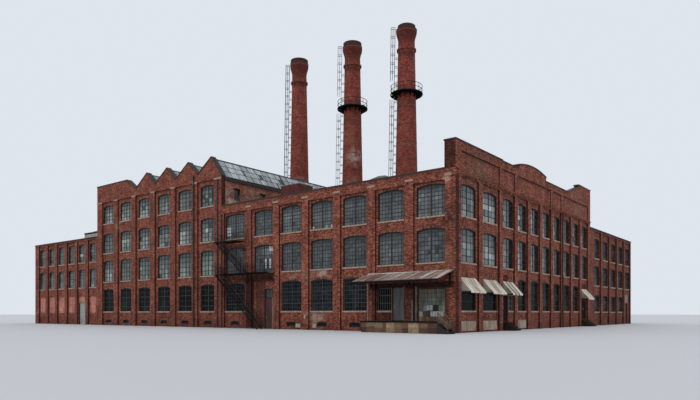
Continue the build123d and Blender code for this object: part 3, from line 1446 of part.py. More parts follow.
def wing_monitor():
    """A glazed lantern on the west wing's roof."""
    d = (WING_MONITOR_FRONT, WING_MONITOR_FRONT + WING_MONITOR_DEPTH)
    start = SAW_END + WING_MONITOR_MARGIN
    outline = pitched(d, WING_ROOF, WING_MONITOR_HEIGHT, WING_MONITOR_RISE)
    return FRONT.ramp(outline, (start, start + WING_MONITOR_LENGTH))


def roof_houses():
    return [roof_monitor(), low_vent(), wing_monitor()]


def downpipe(facade, u, foot, head):
    """A round rainwater pipe against a pier's face."""
    base = facade.point(u, -DOWNPIPE_RADIUS, foot)
    return Pos(*base) * Cylinder(DOWNPIPE_RADIUS, head - foot, align=(Align.CENTER, Align.CENTER, Align.MIN))


def saw_gutter():
    """A box gutter under the first roof light, along the wall over the corner block's roof."""
    z = SAW_EAVE - ROOF_BELOW_COPING - ROOF_SHEET
    u = (COPING_DEPTH[1], FRONT_DEPTH - COPING_DEPTH[1])
    return PARTY.box(u, (-GUTTER_WIDTH, 0), (z - GUTTER_HEIGHT, z))


def downpipes():
    """Three rainwater pipes down the street fronts, and the sawtooth block's gutter."""
    pipe_line = sum(SIDE_PIERS[7]) / 2
    return [
        downpipe(FRONT, SAW_START - CORNER_PIPE_MARGIN, 0, BAND_BOTTOM),
        downpipe(FRONT, SAW_START + SAW_PIPE_MARGIN, 0, SAW_CAP_BOTTOM),
        downpipe(SIDE, pipe_line, 0, STRING_BOTTOM),
        saw_gutter(),
    ]


PIECES = [
    front_wall_ground, front_wall_upper, door_heads, side_wall_ground, side_wall_upper, side_parapet,
    stone_trim, saw_front_wall, saw_gables, saw_rear_wall, saw_west_wall, party_wall, wing_front_wall,
    wing_infills, wing_back_walls, court_walls, side_end_wall, rear_wing_street_wall,
    rear_wing_back_walls, ground_floor, upper_floors, flat_roofs, saw_roof_lights, saw_roof_slopes,
    saw_ridges, copings, stacks, stack_galleries, stack_ladders, ladder_cages, escape_landings,
    escape_stringers, escape_treads, handrails, loading_dock, dock_steps, dock_canopy, canopy_frame,
    awnings, dock_door, escape_door, side_door, pair_door_near, pair_door_far, closed_bays, side_stoops,
    base_panels, street_glazing, court_glazing, window_sills, roof_houses, downpipes,
]


def main():
    """Builds every piece, centres the whole over its foot and writes one file for each."""
    os.makedirs("parts", exist_ok=True)
    built = {}
    for make in PIECES:
        shape = make()
        items = shape if isinstance(shape, list) else [shape]
        solids = [solid for item in items for solid in item.solids()]
        built[make.__name__] = Compound(children=solids)
    whole = Compound(children=[solid for piece in built.values() for solid in piece.solids()])
    box = whole.bounding_box()
    shift = Pos(-box.center().X, -box.center().Y, -box.min.Z)
    print("shift", [round(v, 3) for v in shift.position])
    for name, shape in built.items():
        placed = [shift * s for s in shape.solids()]
        export_step(placed[0] if len(placed) == 1 else Compound(children=placed), f"parts/{name}.step")
        print(name, len(placed))


main()
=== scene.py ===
# %% [markdown]
# # Dressing a red-brick factory, one tenth of its real size
#
# The imported model already has every wall, floor, stack, stair and door in its place. This script adds what
# the eye looks for on the real building: steel sashes with many small panes, brick arches and corbels,
# rusted sheets, canvas, and above all weathered finishes. Everything is in metres, and one model
# millimetre stands for one real centimetre.
#
# The first cell loads the model as a fixed frame.

# %% Load the frame
import json
import math
import random

import bmesh
import bpy
from mathutils import Matrix, Vector


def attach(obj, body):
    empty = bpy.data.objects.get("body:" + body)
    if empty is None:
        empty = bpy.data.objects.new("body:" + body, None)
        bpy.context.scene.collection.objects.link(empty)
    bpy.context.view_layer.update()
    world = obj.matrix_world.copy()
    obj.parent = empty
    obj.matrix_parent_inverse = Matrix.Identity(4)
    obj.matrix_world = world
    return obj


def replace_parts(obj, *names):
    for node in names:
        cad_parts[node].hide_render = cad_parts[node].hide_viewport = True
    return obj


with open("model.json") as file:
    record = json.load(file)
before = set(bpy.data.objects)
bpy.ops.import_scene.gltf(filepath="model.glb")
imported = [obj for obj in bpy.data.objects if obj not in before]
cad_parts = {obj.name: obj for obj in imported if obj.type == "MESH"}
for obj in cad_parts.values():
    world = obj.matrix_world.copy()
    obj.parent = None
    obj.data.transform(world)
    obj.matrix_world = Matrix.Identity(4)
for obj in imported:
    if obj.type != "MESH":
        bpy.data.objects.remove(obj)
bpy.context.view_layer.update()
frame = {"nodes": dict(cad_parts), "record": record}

nodes = frame["nodes"]

# %% [markdown]
# ## Colours and nodes
# Colours are written as sRGB hex, as a paint chart gives them, but Blender mixes light in linear values, so
# one function turns them. A second small function adds a node, sets it and links it, which keeps each
# finish below readable as a recipe.

# %% Colour and node helpers
def linear(code):
    """The linear red, green, blue and alpha of an sRGB hex colour."""
    parts = [int(code[i:i + 2], 16) / 255 for i in (1, 3, 5)]
    return [c / 12.92 if c <= 0.04045 else ((c + 0.055) / 1.055) ** 2.4 for c in parts] + [1.0]


def add(tree, kind, inputs=None, stops=None, output=0, **settings):
    """Adds one shader node and returns an output: inputs are constants or sockets, stops fill a ramp."""
    node = tree.nodes.new("ShaderNode" + kind)
    for name, value in settings.items():
        setattr(node, name, value)
    for name, value in (inputs or {}).items():
        if isinstance(value, bpy.types.NodeSocket):
            tree.links.new(value, node.inputs[name])
        else:
            node.inputs[name].default_value = value
    if stops:
        ramp = node.color_ramp
        while len(ramp.elements) < len(stops):
            ramp.elements.new(0.5)
        for element, (place, code) in zip(ramp.elements, stops):
            element.position = place
            element.color = linear(code)
    return node.outputs[output]


def start_finish(name):
    """A new material with its node tree and its one shader."""
    finish = bpy.data.materials.new(name)
    finish.use_nodes = True
    return finish, finish.node_tree, finish.node_tree.nodes["Principled BSDF"]


print("mid grey in linear values:", [round(v, 3) for v in linear("#808080")])

# %% [markdown]
# ## Handing over a finished piece
# Every piece below is drawn in a bmesh, which is Blender's own workshop for meshes. Then the same few things
# happen to each of them: it becomes a mesh with its materials, and it rides on the part of the model that
# carries it. One function does that.

# %% Hand over a finished piece
def hand_over(name, bm, materials, body="building"):
    """Makes a bmesh a finished piece on a body of the model."""
    mesh = bpy.data.meshes.new(name)
    bm.to_mesh(mesh)
    bm.free()
    for material in materials:
        mesh.materials.append(material)
    piece = bpy.data.objects.new(name, mesh)
    bpy.context.collection.objects.link(piece)
    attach(piece, body)
    print(name, "has", len(mesh.polygons), "faces")
    return piece


print(len(bpy.data.meshes), "meshes before the first piece is added")

# %% [markdown]
# ## Brickwork
# The walls are common red bricks laid by hand and left to the weather for a century. Their pattern lies
# along x and z on a wall that faces front or back, and along y and z on one that faces sideways, which the
# surface's own normal tells. So one finish serves all walls of a range, and nobody has to unwrap them. A
# stain is a ball of colour round one point of the building, torn by noise, so it needs no painted picture.

# %% Flat coordinates and stains
def wall_coordinates(tree):
    """Object coordinates laid flat on the nearest upright plane, with the parts they come from."""
    where = add(tree, "TexCoord").node.outputs
    place = add(tree, "SeparateXYZ", {"Vector": where["Object"]}).node.outputs
    normal = add(tree, "SeparateXYZ", {"Vector": where["Normal"]}).node.outputs
    turned_x = add(tree, "Math", {0: normal["X"]}, operation="ABSOLUTE")
    turned_z = add(tree, "Math", {0: normal["Z"]}, operation="ABSOLUTE")
    sideways = add(tree, "Math", {0: turned_x, 1: 0.6}, operation="GREATER_THAN")
    flat = add(tree, "Math", {0: turned_z, 1: 0.8}, operation="GREATER_THAN")
    across = add(tree, "Mix", {0: sideways, 2: place["X"], 3: place["Y"]})
    rise = add(tree, "Mix", {0: flat, 2: place["Z"], 3: place["Y"]})
    plane = add(tree, "CombineXYZ", {"X": across, "Y": rise})
    return where["Object"], place, plane, sideways, flat, normal


def stain(tree, base, where, centre, radius, code, strength, ragged=14.0):
    """Mixes a ragged stain of one colour into base, round a point of the building."""
    away = add(tree, "VectorMath", {0: where, 1: centre}, output="Value", operation="DISTANCE")
    near = add(tree, "MapRange", {0: away, 1: radius, 2: radius * 0.25, 3: 0.0, 4: strength})
    cloud = add(tree, "TexNoise", {"Vector": where, "Scale": ragged, "Detail": 6.0, "Roughness": 0.7})
    torn = add(tree, "MapRange", {0: cloud, 1: 0.42, 2: 0.6})
    amount = add(tree, "Math", {0: near, 1: torn}, operation="MULTIPLY")
    return add(tree, "Mix", {0: amount, 6: base, 7: linear(code)}, output=2, data_type="RGBA")


print("soot is", [round(v, 3) for v in linear("#2a1a17")[:3]], "in linear values")

# %% [markdown]
# ## Laid brick
# A real brick with its joint is 225 by 75 mm, so here it is 22.5 by 7.5 mm. A brick pattern gives each brick
# its own tone, and three noises of different grain mottle the wall, as kiln and soot do. The finest one gives
# the walls their relief too. A picture of bricks would be quicker, but it repeats and blurs near the camera.

# %% Laid brick
BRICK_LENGTH = 0.0225
BRICK_COURSE = 0.0075
JOINT = 0.0007


def brick_colour(tree, plane, where, tones, joint_code, patch_scale=7.0):
    """The colour of laid brick on a flat plane of coordinates, and the mask of its joints."""
    laid = add(tree, "TexBrick", {
        "Vector": plane, "Color1": linear("#000000"), "Color2": linear("#ffffff"),
        "Mortar": linear("#808080"), "Scale": 1.0, "Mortar Size": JOINT, "Mortar Smooth": 0.3,
        "Bias": 0.0, "Brick Width": BRICK_LENGTH, "Row Height": BRICK_COURSE}).node.outputs
    each = add(tree, "SeparateColor", {0: laid["Color"]})
    patches = add(tree, "TexNoise",
                  {"Vector": plane, "Scale": patch_scale, "Detail": 7.0, "Roughness": 0.62})
    laid_flat = add(tree, "Mapping", {"Vector": plane, "Scale": (0.55, 1.7, 1.0)})
    fine = add(tree, "TexNoise",
               {"Vector": laid_flat, "Scale": 48.0, "Detail": 6.0, "Roughness": 0.72})
    mixed = add(tree, "Mix", {0: 0.45, 2: patches, 3: fine})
    toned = add(tree, "Mix", {0: 0.3, 2: mixed, 3: each})
    colour = add(tree, "ValToRGB", {0: toned}, stops=tones)
    plum = add(tree, "TexNoise", {"Vector": where, "Scale": 16.0, "Detail": 3.0})
    plummy = add(tree, "MapRange", {0: plum, 1: 0.54, 2: 0.68, 3: 0.0, 4: 0.5})
    colour = add(tree, "Mix", {0: plummy, 6: colour, 7: linear("#6a3c3a")}, output=2, data_type="RGBA")
    jointed = add(tree, "Math", {0: laid["Fac"], 1: 0.6}, operation="MULTIPLY")
    colour = add(tree, "Mix", {0: jointed, 6: colour, 7: linear(joint_code)}, output=2, data_type="RGBA")
    return colour, laid["Fac"], fine


print("a square metre of real wall takes", round(0.01 / (BRICK_LENGTH * BRICK_COURSE)), "bricks")

# %% [markdown]
# ## Weathered brickwork
# Rain and soot run down a wall from its sills and copings, which a noise stretched upright draws as streaks,
# and the brick grows darker towards its foot. Returns of piers and reveals, and faces that look down, get
# painted shade, so a face turned away from its wall's front is darker. These three multiply the brick's own
# colour, so each brick can still be told, and the stains and bands of a wall are mixed in over them; the
# front's dark bands under the canopy and the fire escape's landing are painted shadow.

# %% Weathered brickwork
BRICK_TONES = [(0.27, "#3a1f1b"), (0.42, "#6c382c"), (0.5, "#86493a"), (0.59, "#9d5a46"), (0.74, "#bf8068")]


def brickwork(name, shade=1.0, return_axis=None, stains=(), tones=BRICK_TONES, bands=()):
    """Weathered common brick: matt, mottled, with dark joints and streaks, darker towards its foot.

    return_axis is the axis that the wall's returns and reveals face; these, and faces that look down, are
    darkened as painted shade.
    """
    finish, tree, shader = start_finish(name)
    where, place, plane, sideways, flat, facing = wall_coordinates(tree)
    colour, joints, fine = brick_colour(tree, plane, where, tones, "#54403a")
    upright = add(tree, "Mapping", {"Vector": plane, "Scale": (34.0, 2.2, 1.0)})
    streaks = add(tree, "TexNoise", {"Vector": upright, "Scale": 1.0, "Detail": 4.0})
    streaked = add(tree, "MapRange", {0: streaks, 1: 0.4, 2: 0.66, 3: 1.06, 4: 0.72})
    foot = add(tree, "MapRange", {0: place["Z"], 1: 0.0, 2: 0.2, 3: 0.66, 4: 1.0})
    weathering_and_shade = add(tree, "Math", {0: streaked, 1: foot}, operation="MULTIPLY")
    if return_axis == "x":
        turned = sideways
    elif return_axis == "y":
        upright_face = add(tree, "Math", {0: 1.0, 1: sideways}, operation="SUBTRACT")
        turned = add(tree, "Math", {0: upright_face, 1: flat}, operation="SUBTRACT")
    down = add(tree, "Math", {0: facing["Z"], 1: -0.5}, operation="LESS_THAN")
    # Painted shade: returns, reveals and faces that look down keep only 0.3 of their colour.
    if return_axis:
        turned = add(tree, "Math", {0: turned, 1: down}, operation="MAXIMUM")
        painted_shade = add(tree, "MapRange", {0: turned, 1: 0.0, 2: 1.0, 3: 1.0, 4: 0.3})
        weathering_and_shade = add(tree, "Math", {0: weathering_and_shade, 1: painted_shade}, operation="MULTIPLY")
    weathering_and_shade = add(tree, "Math", {0: weathering_and_shade, 1: shade}, operation="MULTIPLY")
    colour = add(tree, "VectorMath", {0: colour, 1: weathering_and_shade}, operation="MULTIPLY")
    for centre, radius, code, strength in stains:
        colour = stain(tree, colour, where, centre, radius, code, strength)
    for (x0, x1), (z0, z1), code, strength in bands:
        amount = strength
        for along, low, high in ((place["X"], x0, x1), (place["Z"], z0, z1)):
            rising = add(tree, "MapRange", {0: along, 1: low, 2: low + 0.02})
            falling = add(tree, "MapRange", {0: along, 1: high, 2: high - 0.02})
            inside = add(tree, "Math", {0: rising, 1: falling}, operation="MULTIPLY")
            amount = add(tree, "Math", {0: inside, 1: amount}, operation="MULTIPLY")
        colour = add(tree, "Mix", {0: amount, 6: colour, 7: linear(code)}, output=2, data_type="RGBA")
    tree.links.new(colour, shader.inputs["Base Color"])
    shader.inputs["Roughness"].default_value = 0.92
    shader.inputs["Specular IOR Level"].default_value = 0.2
    relief = add(tree, "Math", {0: fine, 1: joints}, operation="SUBTRACT")
    bump = add(tree, "Bump", {"Height": relief, "Strength": 0.5, "Distance": 0.0008})
    tree.links.new(bump, shader.inputs["Normal"])
    return finish


print("brick tones run from", BRICK_TONES[0][1], "to", BRICK_TONES[-1][1])

# %% [markdown]
# ## How each wall has weathered
# Every range has its own mix: soot where water stands, lime where it dries, rust by the corner, and paler
# brick where openings were closed later. Tables of stains keep these places together, so a wall can be
# weathered anew by its numbers alone.

# %% The walls' brick finishes
# Each stain: its centre in metres, its reach, its colour and how strongly it shows.
LIME = "#a89788"
SOOT = "#2a1a17"
# The soot patches at x 0.95 and x 3.05 lie under the fire escape's landing and under the canopy: soot, and
# painted shade as well.
FRONT_STAINS = [
    ((3.70, -2.75, 1.0), 0.30, SOOT, 0.75), ((3.62, -2.75, 0.62), 0.16, "#8e6a52", 0.5),
    ((2.26, -2.745, 0.565), 0.17, LIME, 0.8), ((2.06, -2.745, 0.54), 0.09, LIME, 0.6),
    ((1.86, -2.745, 0.56), 0.10, LIME, 0.5), ((2.2, -2.745, 0.12), 0.14, LIME, 0.65),
    ((2.06, -2.76, 0.13), 0.07, LIME, 0.8), ((0.95, -2.745, 0.45), 0.35, SOOT, 0.75),
    ((1.3, -2.745, 1.32), 0.4, "#6f4a40", 0.4), ((3.05, -2.745, 0.3), 0.30, SOOT, 0.6),
    ((3.70, -2.763, 1.58), 0.09, "#b4603a", 0.8), ((3.71, -2.763, 1.43), 0.08, "#3a2024", 0.8),
    ((3.67, -2.76, 1.3), 0.05, "#c8b496", 0.7), ((1.43, -2.745, 0.93), 0.10, "#c08a5a", 0.5),
]
SIDE_STAINS = [
    ((3.75, -2.72, 0.95), 0.30, SOOT, 0.7), ((3.75, -2.3, 1.45), 0.28, "#7c6a5c", 0.5),
    ((3.75, -2.2, 1.5), 0.5, SOOT, 0.3), ((3.75, 0.4, 1.5), 0.3, "#80695c", 0.5),
    ((3.75, -2.0, 0.25), 0.35, SOOT, 0.5), ((3.75, -1.0, 0.08), 0.14, "#8e4a44", 0.6),
]
# Dark bands: from x to x and from z to z. Painted shadow under the canopy and on the wall below it, and under
# the fire escape's low landing; two dark wine-red bands run down the pier beside it.
FRONT_BANDS = [
    ((2.85, 3.75), (0.375, 0.45), "#0d0a0a", 0.85), ((2.88, 3.70), (0.08, 0.41), "#1c100e", 0.42),
    ((1.16, 1.62), (0.50, 0.60), "#120c0c", 0.7), ((1.16, 1.30), (0.0, 0.55), "#2b1416", 0.85),
    ((1.30, 1.48), (0.0, 0.55), "#3a211e", 0.6),
]
brick_front = brickwork("weathered_red_brick_front", 1.0, "x", FRONT_STAINS, bands=FRONT_BANDS)
# The side street's brick is made a little brighter than the front's: painted light, for a face that gets less
# light.
brick_side = brickwork("weathered_red_brick_side", 1.06, "y", SIDE_STAINS)
# The pale pier caps of the front; the same course turns the corner as plain brick.
brick_course = brickwork("pier_caps_and_side_course", 0.92, None,
                         bands=[((-5.0, 3.73), (0.0, 2.0), "#a08b79", 0.9)])
brick_saw = brickwork("weathered_red_brick_saw_block", 0.95, "x", [
    ((0.5, -2.745, 0.3), 0.4, SOOT, 0.5), ((-0.3, -2.745, 0.12), 0.3, SOOT, 0.4),
    ((-1.4, -2.745, 1.38), 0.12, LIME, 0.5), ((0.1, -2.745, 1.75), 0.2, "#8a5a44", 0.35)])
brick_yard = brickwork("sooty_yard_brick", 0.86)
brick_rear = brickwork("sooty_rear_wing_brick", 0.86, "y")
# The party wall's brick is raised in brightness: its own paler colour in part, and painted light in part, for
# a face that gets little light.
PARTY_TONES = [(0.27, "#3a241f"), (0.42, "#683e33"), (0.5, "#825143"), (0.59, "#98634f"), (0.74, "#bb8a73")]
brick_party = brickwork("limewashed_party_brick", 1.42, "y", tones=PARTY_TONES, stains=[
    ((0.76, -2.6, 1.47), 0.18, "#c0b4a4", 0.9), ((0.76, -2.2, 1.5), 0.3, "#a08a78", 0.6),
    ((0.76, -1.6, 1.5), 0.4, "#8e7868", 0.5)])
brick_infill = brickwork("later_infill_brick", 1.95, None, [((-2.4, -2.74, 0.3), 0.3, "#a88474", 0.5)], [
    (0.25, "#5a3630"), (0.4, "#7a4c43"), (0.5, "#8c594d"), (0.6, "#9a6557"), (0.76, "#b98672")])
print("brick finishes:", [material.name for material in bpy.data.materials if "brick" in material.name])

# %% [markdown]
# ## Stack brick
# The stacks are laid in courses round a circle, so their pattern runs along the angle about each stack's own
# axis. One finish serves all three: two tests on x tell which stack a point belongs to, and so which axis to
# measure from. Three finishes would do too, but each change would have to be made three times.

# %% Coordinates round each stack
STACK_X = (1.6895, 0.7525, -0.3075)
STACK_Y = -0.323
# Places along x half-way between two stacks, and the shafts' mean radius, which sets the bricks' length.
BETWEEN_STACKS = (1.22, 0.22)
MEAN_RADIUS = 0.15


def stack_value(tree, east, middle, values):
    """The value of the stack that a point belongs to, from the values of east, middle and west."""
    others = add(tree, "Mix", {0: middle, 2: values[2], 3: values[1]})
    return add(tree, "Mix", {0: east, 2: others, 3: values[0]})


def round_each_stack(tree, place):
    """Coordinates round the axis of a point's own stack, and the two tests that tell which it is."""
    east = add(tree, "Math", {0: place["X"], 1: BETWEEN_STACKS[0]}, operation="GREATER_THAN")
    middle = add(tree, "Math", {0: place["X"], 1: BETWEEN_STACKS[1]}, operation="GREATER_THAN")
    axis = stack_value(tree, east, middle, STACK_X)
    dx = add(tree, "Math", {0: place["X"], 1: axis}, operation="SUBTRACT")
    dy = add(tree, "Math", {0: place["Y"], 1: -STACK_Y}, operation="ADD")
    turn = add(tree, "Math", {0: dy, 1: dx}, operation="ARCTAN2")
    round_it = add(tree, "Math", {0: turn, 1: MEAN_RADIUS}, operation="MULTIPLY")
    return add(tree, "CombineXYZ", {"X": round_it, "Y": place["Z"]}), east, middle


print("one course round a shaft takes", round(2 * math.pi * MEAN_RADIUS / BRICK_LENGTH), "bricks")

# %% [markdown]
# ## Soot and rain on the stacks
# Soot has blackened the crowns, and rain has bleached a line on the shoulder and a few patches lower down.
# What runs level round a stack is drawn by ramps over the height, and what lies on one side of it by ragged
# stains, so that no picture has to be wrapped round a tapered shaft.

# %% Stack brick finish
# The height in metres that stands for 1 in the ramps along a stack.
RAMP_TOP = 4.2
STACK_TONES = [(0.28, "#481f1d"), (0.42, "#74332c"), (0.5, "#8c4238"), (0.6, "#a15242"), (0.76, "#c07c62")]
# How far each crown's soot line lies below the level that the ramps are drawn for: east, middle, west.
SOOT_LIFTS = (0.04, 0.016, -0.008)
# Patches on the stacks: pale bleached ones, brown ones, and dark ones just under the galleries of the east
# and middle stacks.
STACK_PATCHES = [
    ((0.88, -0.41, 2.42), 0.17, "#b3a096", 0.9), ((0.85, -0.43, 2.05), 0.12, "#a3836f", 0.6),
    ((-0.18, -0.42, 1.96), 0.36, "#c9aea4", 1.0), ((-0.12, -0.44, 1.85), 0.16, "#d6c2ba", 1.0),
    ((1.80, -0.44, 2.2), 0.5, "#8b5344", 0.4), ((1.85, -0.4, 3.0), 0.16, "#3a2420", 0.8),
    ((1.62, -0.46, 2.98), 0.14, "#45302a", 0.7), ((0.9, -0.4, 3.0), 0.16, "#3a2420", 0.8),
    ((0.68, -0.46, 2.96), 0.14, "#45302a", 0.7), ((0.80, -0.44, 2.7), 0.25, "#7d5a4a", 0.5),
]


def stack_brick():
    """Radial brick with a sooty crown, pale shoulder and bleached patches."""
    finish, tree, shader = start_finish("radial_stack_brick")
    where = add(tree, "TexCoord", output="Object")
    place = add(tree, "SeparateXYZ", {"Vector": where}).node.outputs
    plane, east, middle = round_each_stack(tree, place)
    colour, joints, _ = brick_colour(tree, plane, where, STACK_TONES, "#64423a", 5.0)
    lift = stack_value(tree, east, middle, SOOT_LIFTS)
    level = add(tree, "Math", {0: place["Z"], 1: lift}, operation="ADD")
    height = add(tree, "MapRange", {0: level, 1: 0.0, 2: RAMP_TOP})
    soot = add(tree, "ValToRGB", {0: height}, stops=[
        (0.0, "#c8c8c8"), (0.55, "#e6e6e6"), (0.868, "#fcfcfc"), (0.885, "#9c9c9c"), (0.9, "#e8e8e8"),
        (0.94, "#c4c4c4"), (0.958, "#b0a8a4"), (1.0, "#d0c8c4")])
    colour = add(tree, "VectorMath", {0: colour, 1: soot}, operation="MULTIPLY")
    pale_line = add(tree, "ValToRGB", {0: height}, stops=[
        (0.0, "#000000"), (0.894, "#000000"), (0.896, "#606060"), (0.899, "#000000"), (0.959, "#000000"),
        (0.9605, "#5c5c5c"), (0.962, "#5c5c5c"), (0.964, "#000000")])
    colour = add(tree, "Mix", {0: pale_line, 6: colour, 7: linear("#b49a88")}, output=2, data_type="RGBA")
    sooty_cap = add(tree, "ValToRGB", {0: height}, stops=[
        (0.0, "#000000"), (0.962, "#000000"), (0.9645, "#d0d0d0"), (0.976, "#e4e4e4"),
        (1.0, "#f4f4f4")])
    colour = add(tree, "Mix", {0: sooty_cap, 6: colour, 7: linear("#322d2c")}, output=2, data_type="RGBA")
    for centre, radius, code, strength in STACK_PATCHES:
        colour = stain(tree, colour, where, centre, radius, code, strength, 11.0)
    tree.links.new(colour, shader.inputs["Base Color"])
    shader.inputs["Roughness"].default_value = 0.9
    shader.inputs["Specular IOR Level"].default_value = 0.2
    bump = add(tree, "Bump", {"Height": joints, "Strength": 0.4, "Distance": 0.0008})
    tree.links.new(bump, shader.inputs["Normal"])
    return finish


brick_stack = stack_brick()
print(brick_stack.name, "has", len(brick_stack.node_tree.nodes), "nodes")

# %% [markdown]
# ## Stone, metal, glass and paint
# The other finishes share one recipe: a base colour that noise spoils with dirt or rust, more of it in
# streaks that run down. Its roughness follows the same dirt, so worn places catch the light differently.
# Where many small panels lie in one piece, each face carries a number called tone, and a ramp turns
# it into one of several weathered colours.

# %% One recipe for worn surfaces
def worn_surface(name, clean, dirt, amount=0.5, grain=30.0, run=(1.0, 1.0, 0.25), rough=(0.55, 0.85),
                 stops=None, shine=0.5):
    """One clean colour, or a tone ramp, spoiled by dirt in patches that run in a direction."""
    finish, tree, shader = start_finish(name)
    where = add(tree, "TexCoord", output="Object")
    if stops:
        tone = add(tree, "Attribute", output="Fac", attribute_name="tone")
        base = add(tree, "ValToRGB", {0: tone}, stops=stops)
    else:
        base = linear(clean)
    pulled = add(tree, "Mapping", {"Vector": where, "Scale": run})
    cloud = add(tree, "TexNoise", {"Vector": pulled, "Scale": grain, "Detail": 8.0, "Roughness": 0.66})
    spoiled = add(tree, "MapRange", {0: cloud, 1: 0.42, 2: 0.64, 3: 0.0, 4: amount})
    colour = add(tree, "Mix", {0: spoiled, 6: base, 7: linear(dirt)}, output=2, data_type="RGBA")
    tree.links.new(colour, shader.inputs["Base Color"])
    dull = add(tree, "MapRange", {0: cloud, 1: 0.3, 2: 0.7, 3: rough[0], 4: rough[1]})
    tree.links.new(dull, shader.inputs["Roughness"])
    shader.inputs["Specular IOR Level"].default_value = shine
    bump = add(tree, "Bump", {"Height": cloud, "Strength": 0.4, "Distance": 0.0006})
    tree.links.new(bump, shader.inputs["Normal"])
    return finish


print("so far there are", len(bpy.data.materials), "materials")

# %% [markdown]
# ## The list of worn surfaces
# Each line below is one material of the real building, with its clean colour, what spoils it, how much of it
# and how finely, the way the dirt runs, and how rough the surface is from its cleanest to its dirtiest place.

# %% Stone, roofs and iron
# Limestone sills and caps: sawn stone gone cream, grey where rain runs off it.
limestone = worn_surface("sawn_limestone", "#ab9683", "#5f4b41", 0.8, 40.0)
# Steps and stoops: soot-dark stone, worn by feet.
dark_stoop = worn_surface("foot_worn_dark_stone", "#2c261e", "#14110e", 0.7, 40.0, (1, 1, 1), (0.8, 0.95),
                          shine=0.1)
# Copings: fired clay and lead sheet blackened by soot, seen as a dark edge against the sky.
coping = worn_surface("sooty_coping", "#2e2321", "#191515", 0.6, 30.0)
# Floors and dock top: trowelled concrete with oil and dust.
concrete = worn_surface("trowelled_concrete", "#6e665b", "#3c352f", 0.7, 18.0, (1, 1, 1))
# Flat roofs: gravel on felt, speckled.
roof_felt = worn_surface("gravelled_felt", "#4f4c49", "#2b2a2a", 0.8, 120.0, (1, 1, 1), (0.8, 0.95))
# Slopes that face away from the light: slates.
slate = worn_surface("sawtooth_slate", "#4b4c50", "#2e2e31", 0.7, 60.0, (0.3, 1, 0.3), (0.5, 0.8))
# Stairs, rails and ladders: wrought iron under old brown-red paint.
iron_paint = worn_surface("rusty_painted_iron", "#1d1514", "#43271e", 0.5, 70.0, (1, 1, 0.5), (0.5, 0.8))
# Walkways round the stacks and the fire escape: the same iron, blackened.
black_iron = worn_surface("sooty_black_iron", "#0d0b0b", "#2a1a15", 0.45, 70.0, (1, 1, 0.5), (0.7, 0.9),
                          shine=0.15)
# Ladders and the straps of their cages against the sky: grey galvanised steel.
galvanised = worn_surface("galvanised_steel", "#6b6c6f", "#39383a", 0.6, 60.0, (1, 1, 0.3), (0.45, 0.7))
print(len(bpy.data.materials), "materials with stone, roofs and iron")

# %% [markdown]
# ## Sheets, boards and paint
# Painted things weather piece by piece: one board was renewed, and its neighbour was not. So several of these
# finishes take a ramp of colours in place of a single one, and each face picks its place on the ramp by its
# tone.

# %% Sheets, boards, bricks by hand and paint
# Canopy: rolled sheet, rust over old paint, bleached to grey.
rust_sheet = worn_surface("rusted_sheet_iron", None, "#4d2f2a", 0.75, 26.0, (1.0, 0.22, 0.4), (0.5, 0.8), [
    (0.0, "#151111"), (0.3, "#7a544a"), (0.55, "#9a776b"), (0.75, "#ab9a91"), (1.0, "#dcd8d3")])
# The roof houses: red oxide on the tall one, green on the vent, lead on the lid, whitewash on the lantern.
red_house = worn_surface("red_oxide_sheet", "#67302b", "#3a1f1d", 0.6, 30.0, (1, 1, 0.12), (0.6, 0.85))
green_sheet = worn_surface("bleached_green_sheet", "#687168", "#3a3f39", 0.6, 30.0, (1, 1, 0.2), (0.55, 0.8))
lead_sheet = worn_surface("dull_lead_sheet", "#8b8683", "#4c4744", 0.7, 30.0, (1, 1, 0.5), (0.5, 0.8))
tin_white = worn_surface("whitewashed_sheet", "#b9bdb6", "#74786f", 0.6, 22.0, (1, 1, 0.2), (0.5, 0.75))
# Boards, dock deck and screen: planks in flaking paint, from tarred black over ochre to bleached grey.
boards = worn_surface("flaking_painted_boards", None, "#2b211c", 0.6, 40.0, (1, 1, 0.15), (0.6, 0.85), [
    (0.0, "#151312"), (0.15, "#2c221e"), (0.3, "#4a3328"), (0.42, "#6d5036"), (0.55, "#8d7038"),
    (0.68, "#68706a"), (0.82, "#8f9a94"), (1.0, "#c3cbc9")])
# The five doors: grey, dark red and black paint, rubbed dull round the pulls.
dock_door_paint = worn_surface("grey_door_paint", "#5c5c5a", "#353433", 0.6, 36.0, (1, 1, 0.15), (0.45, 0.75))
escape_door_paint = worn_surface("oxide_door_paint", "#4a2523", "#2a1816", 0.6, 36.0, (1, 1, 0.15),
                                 (0.5, 0.8))
black_door_paint = worn_surface("old_black_door_paint", "#141111", "#261f1c", 0.5, 36.0, (1, 1, 0.15),
                                (0.7, 0.9), shine=0.1)
# Pulls, thin pipes and small boards: chalky off-white paint.
pale_trim = worn_surface("chalky_trim_paint", "#9a968c", "#5d564e", 0.6, 40.0, (1, 1, 0.2), (0.6, 0.85))
# The dock's face: blocks of several stones and cast concrete.
dock_blocks = worn_surface("patched_dock_blocks", None, "#3a2a22", 0.55, 34.0, (1, 1, 0.6), (0.8, 0.95), [
    (0.0, "#241a15"), (0.2, "#4b3022"), (0.4, "#6c4e37"), (0.6, "#826c4e"), (0.8, "#a59070"),
    (1.0, "#c4beb2")])
# Bricks set by hand in arches and corbels: the walls' own tones, one for each brick. The darkest tone also
# paints the shadow line at the top of each sunk panel.
cut_brick = worn_surface("cut_and_moulded_brick", None, "#3a211d", 0.45, 60.0, (1, 1, 0.5), (0.85, 0.95), [
    (0.0, "#26140f"), (0.15, "#4a2820"), (0.4, "#74402f"), (0.7, "#92553c"), (1.0, "#b97850")])
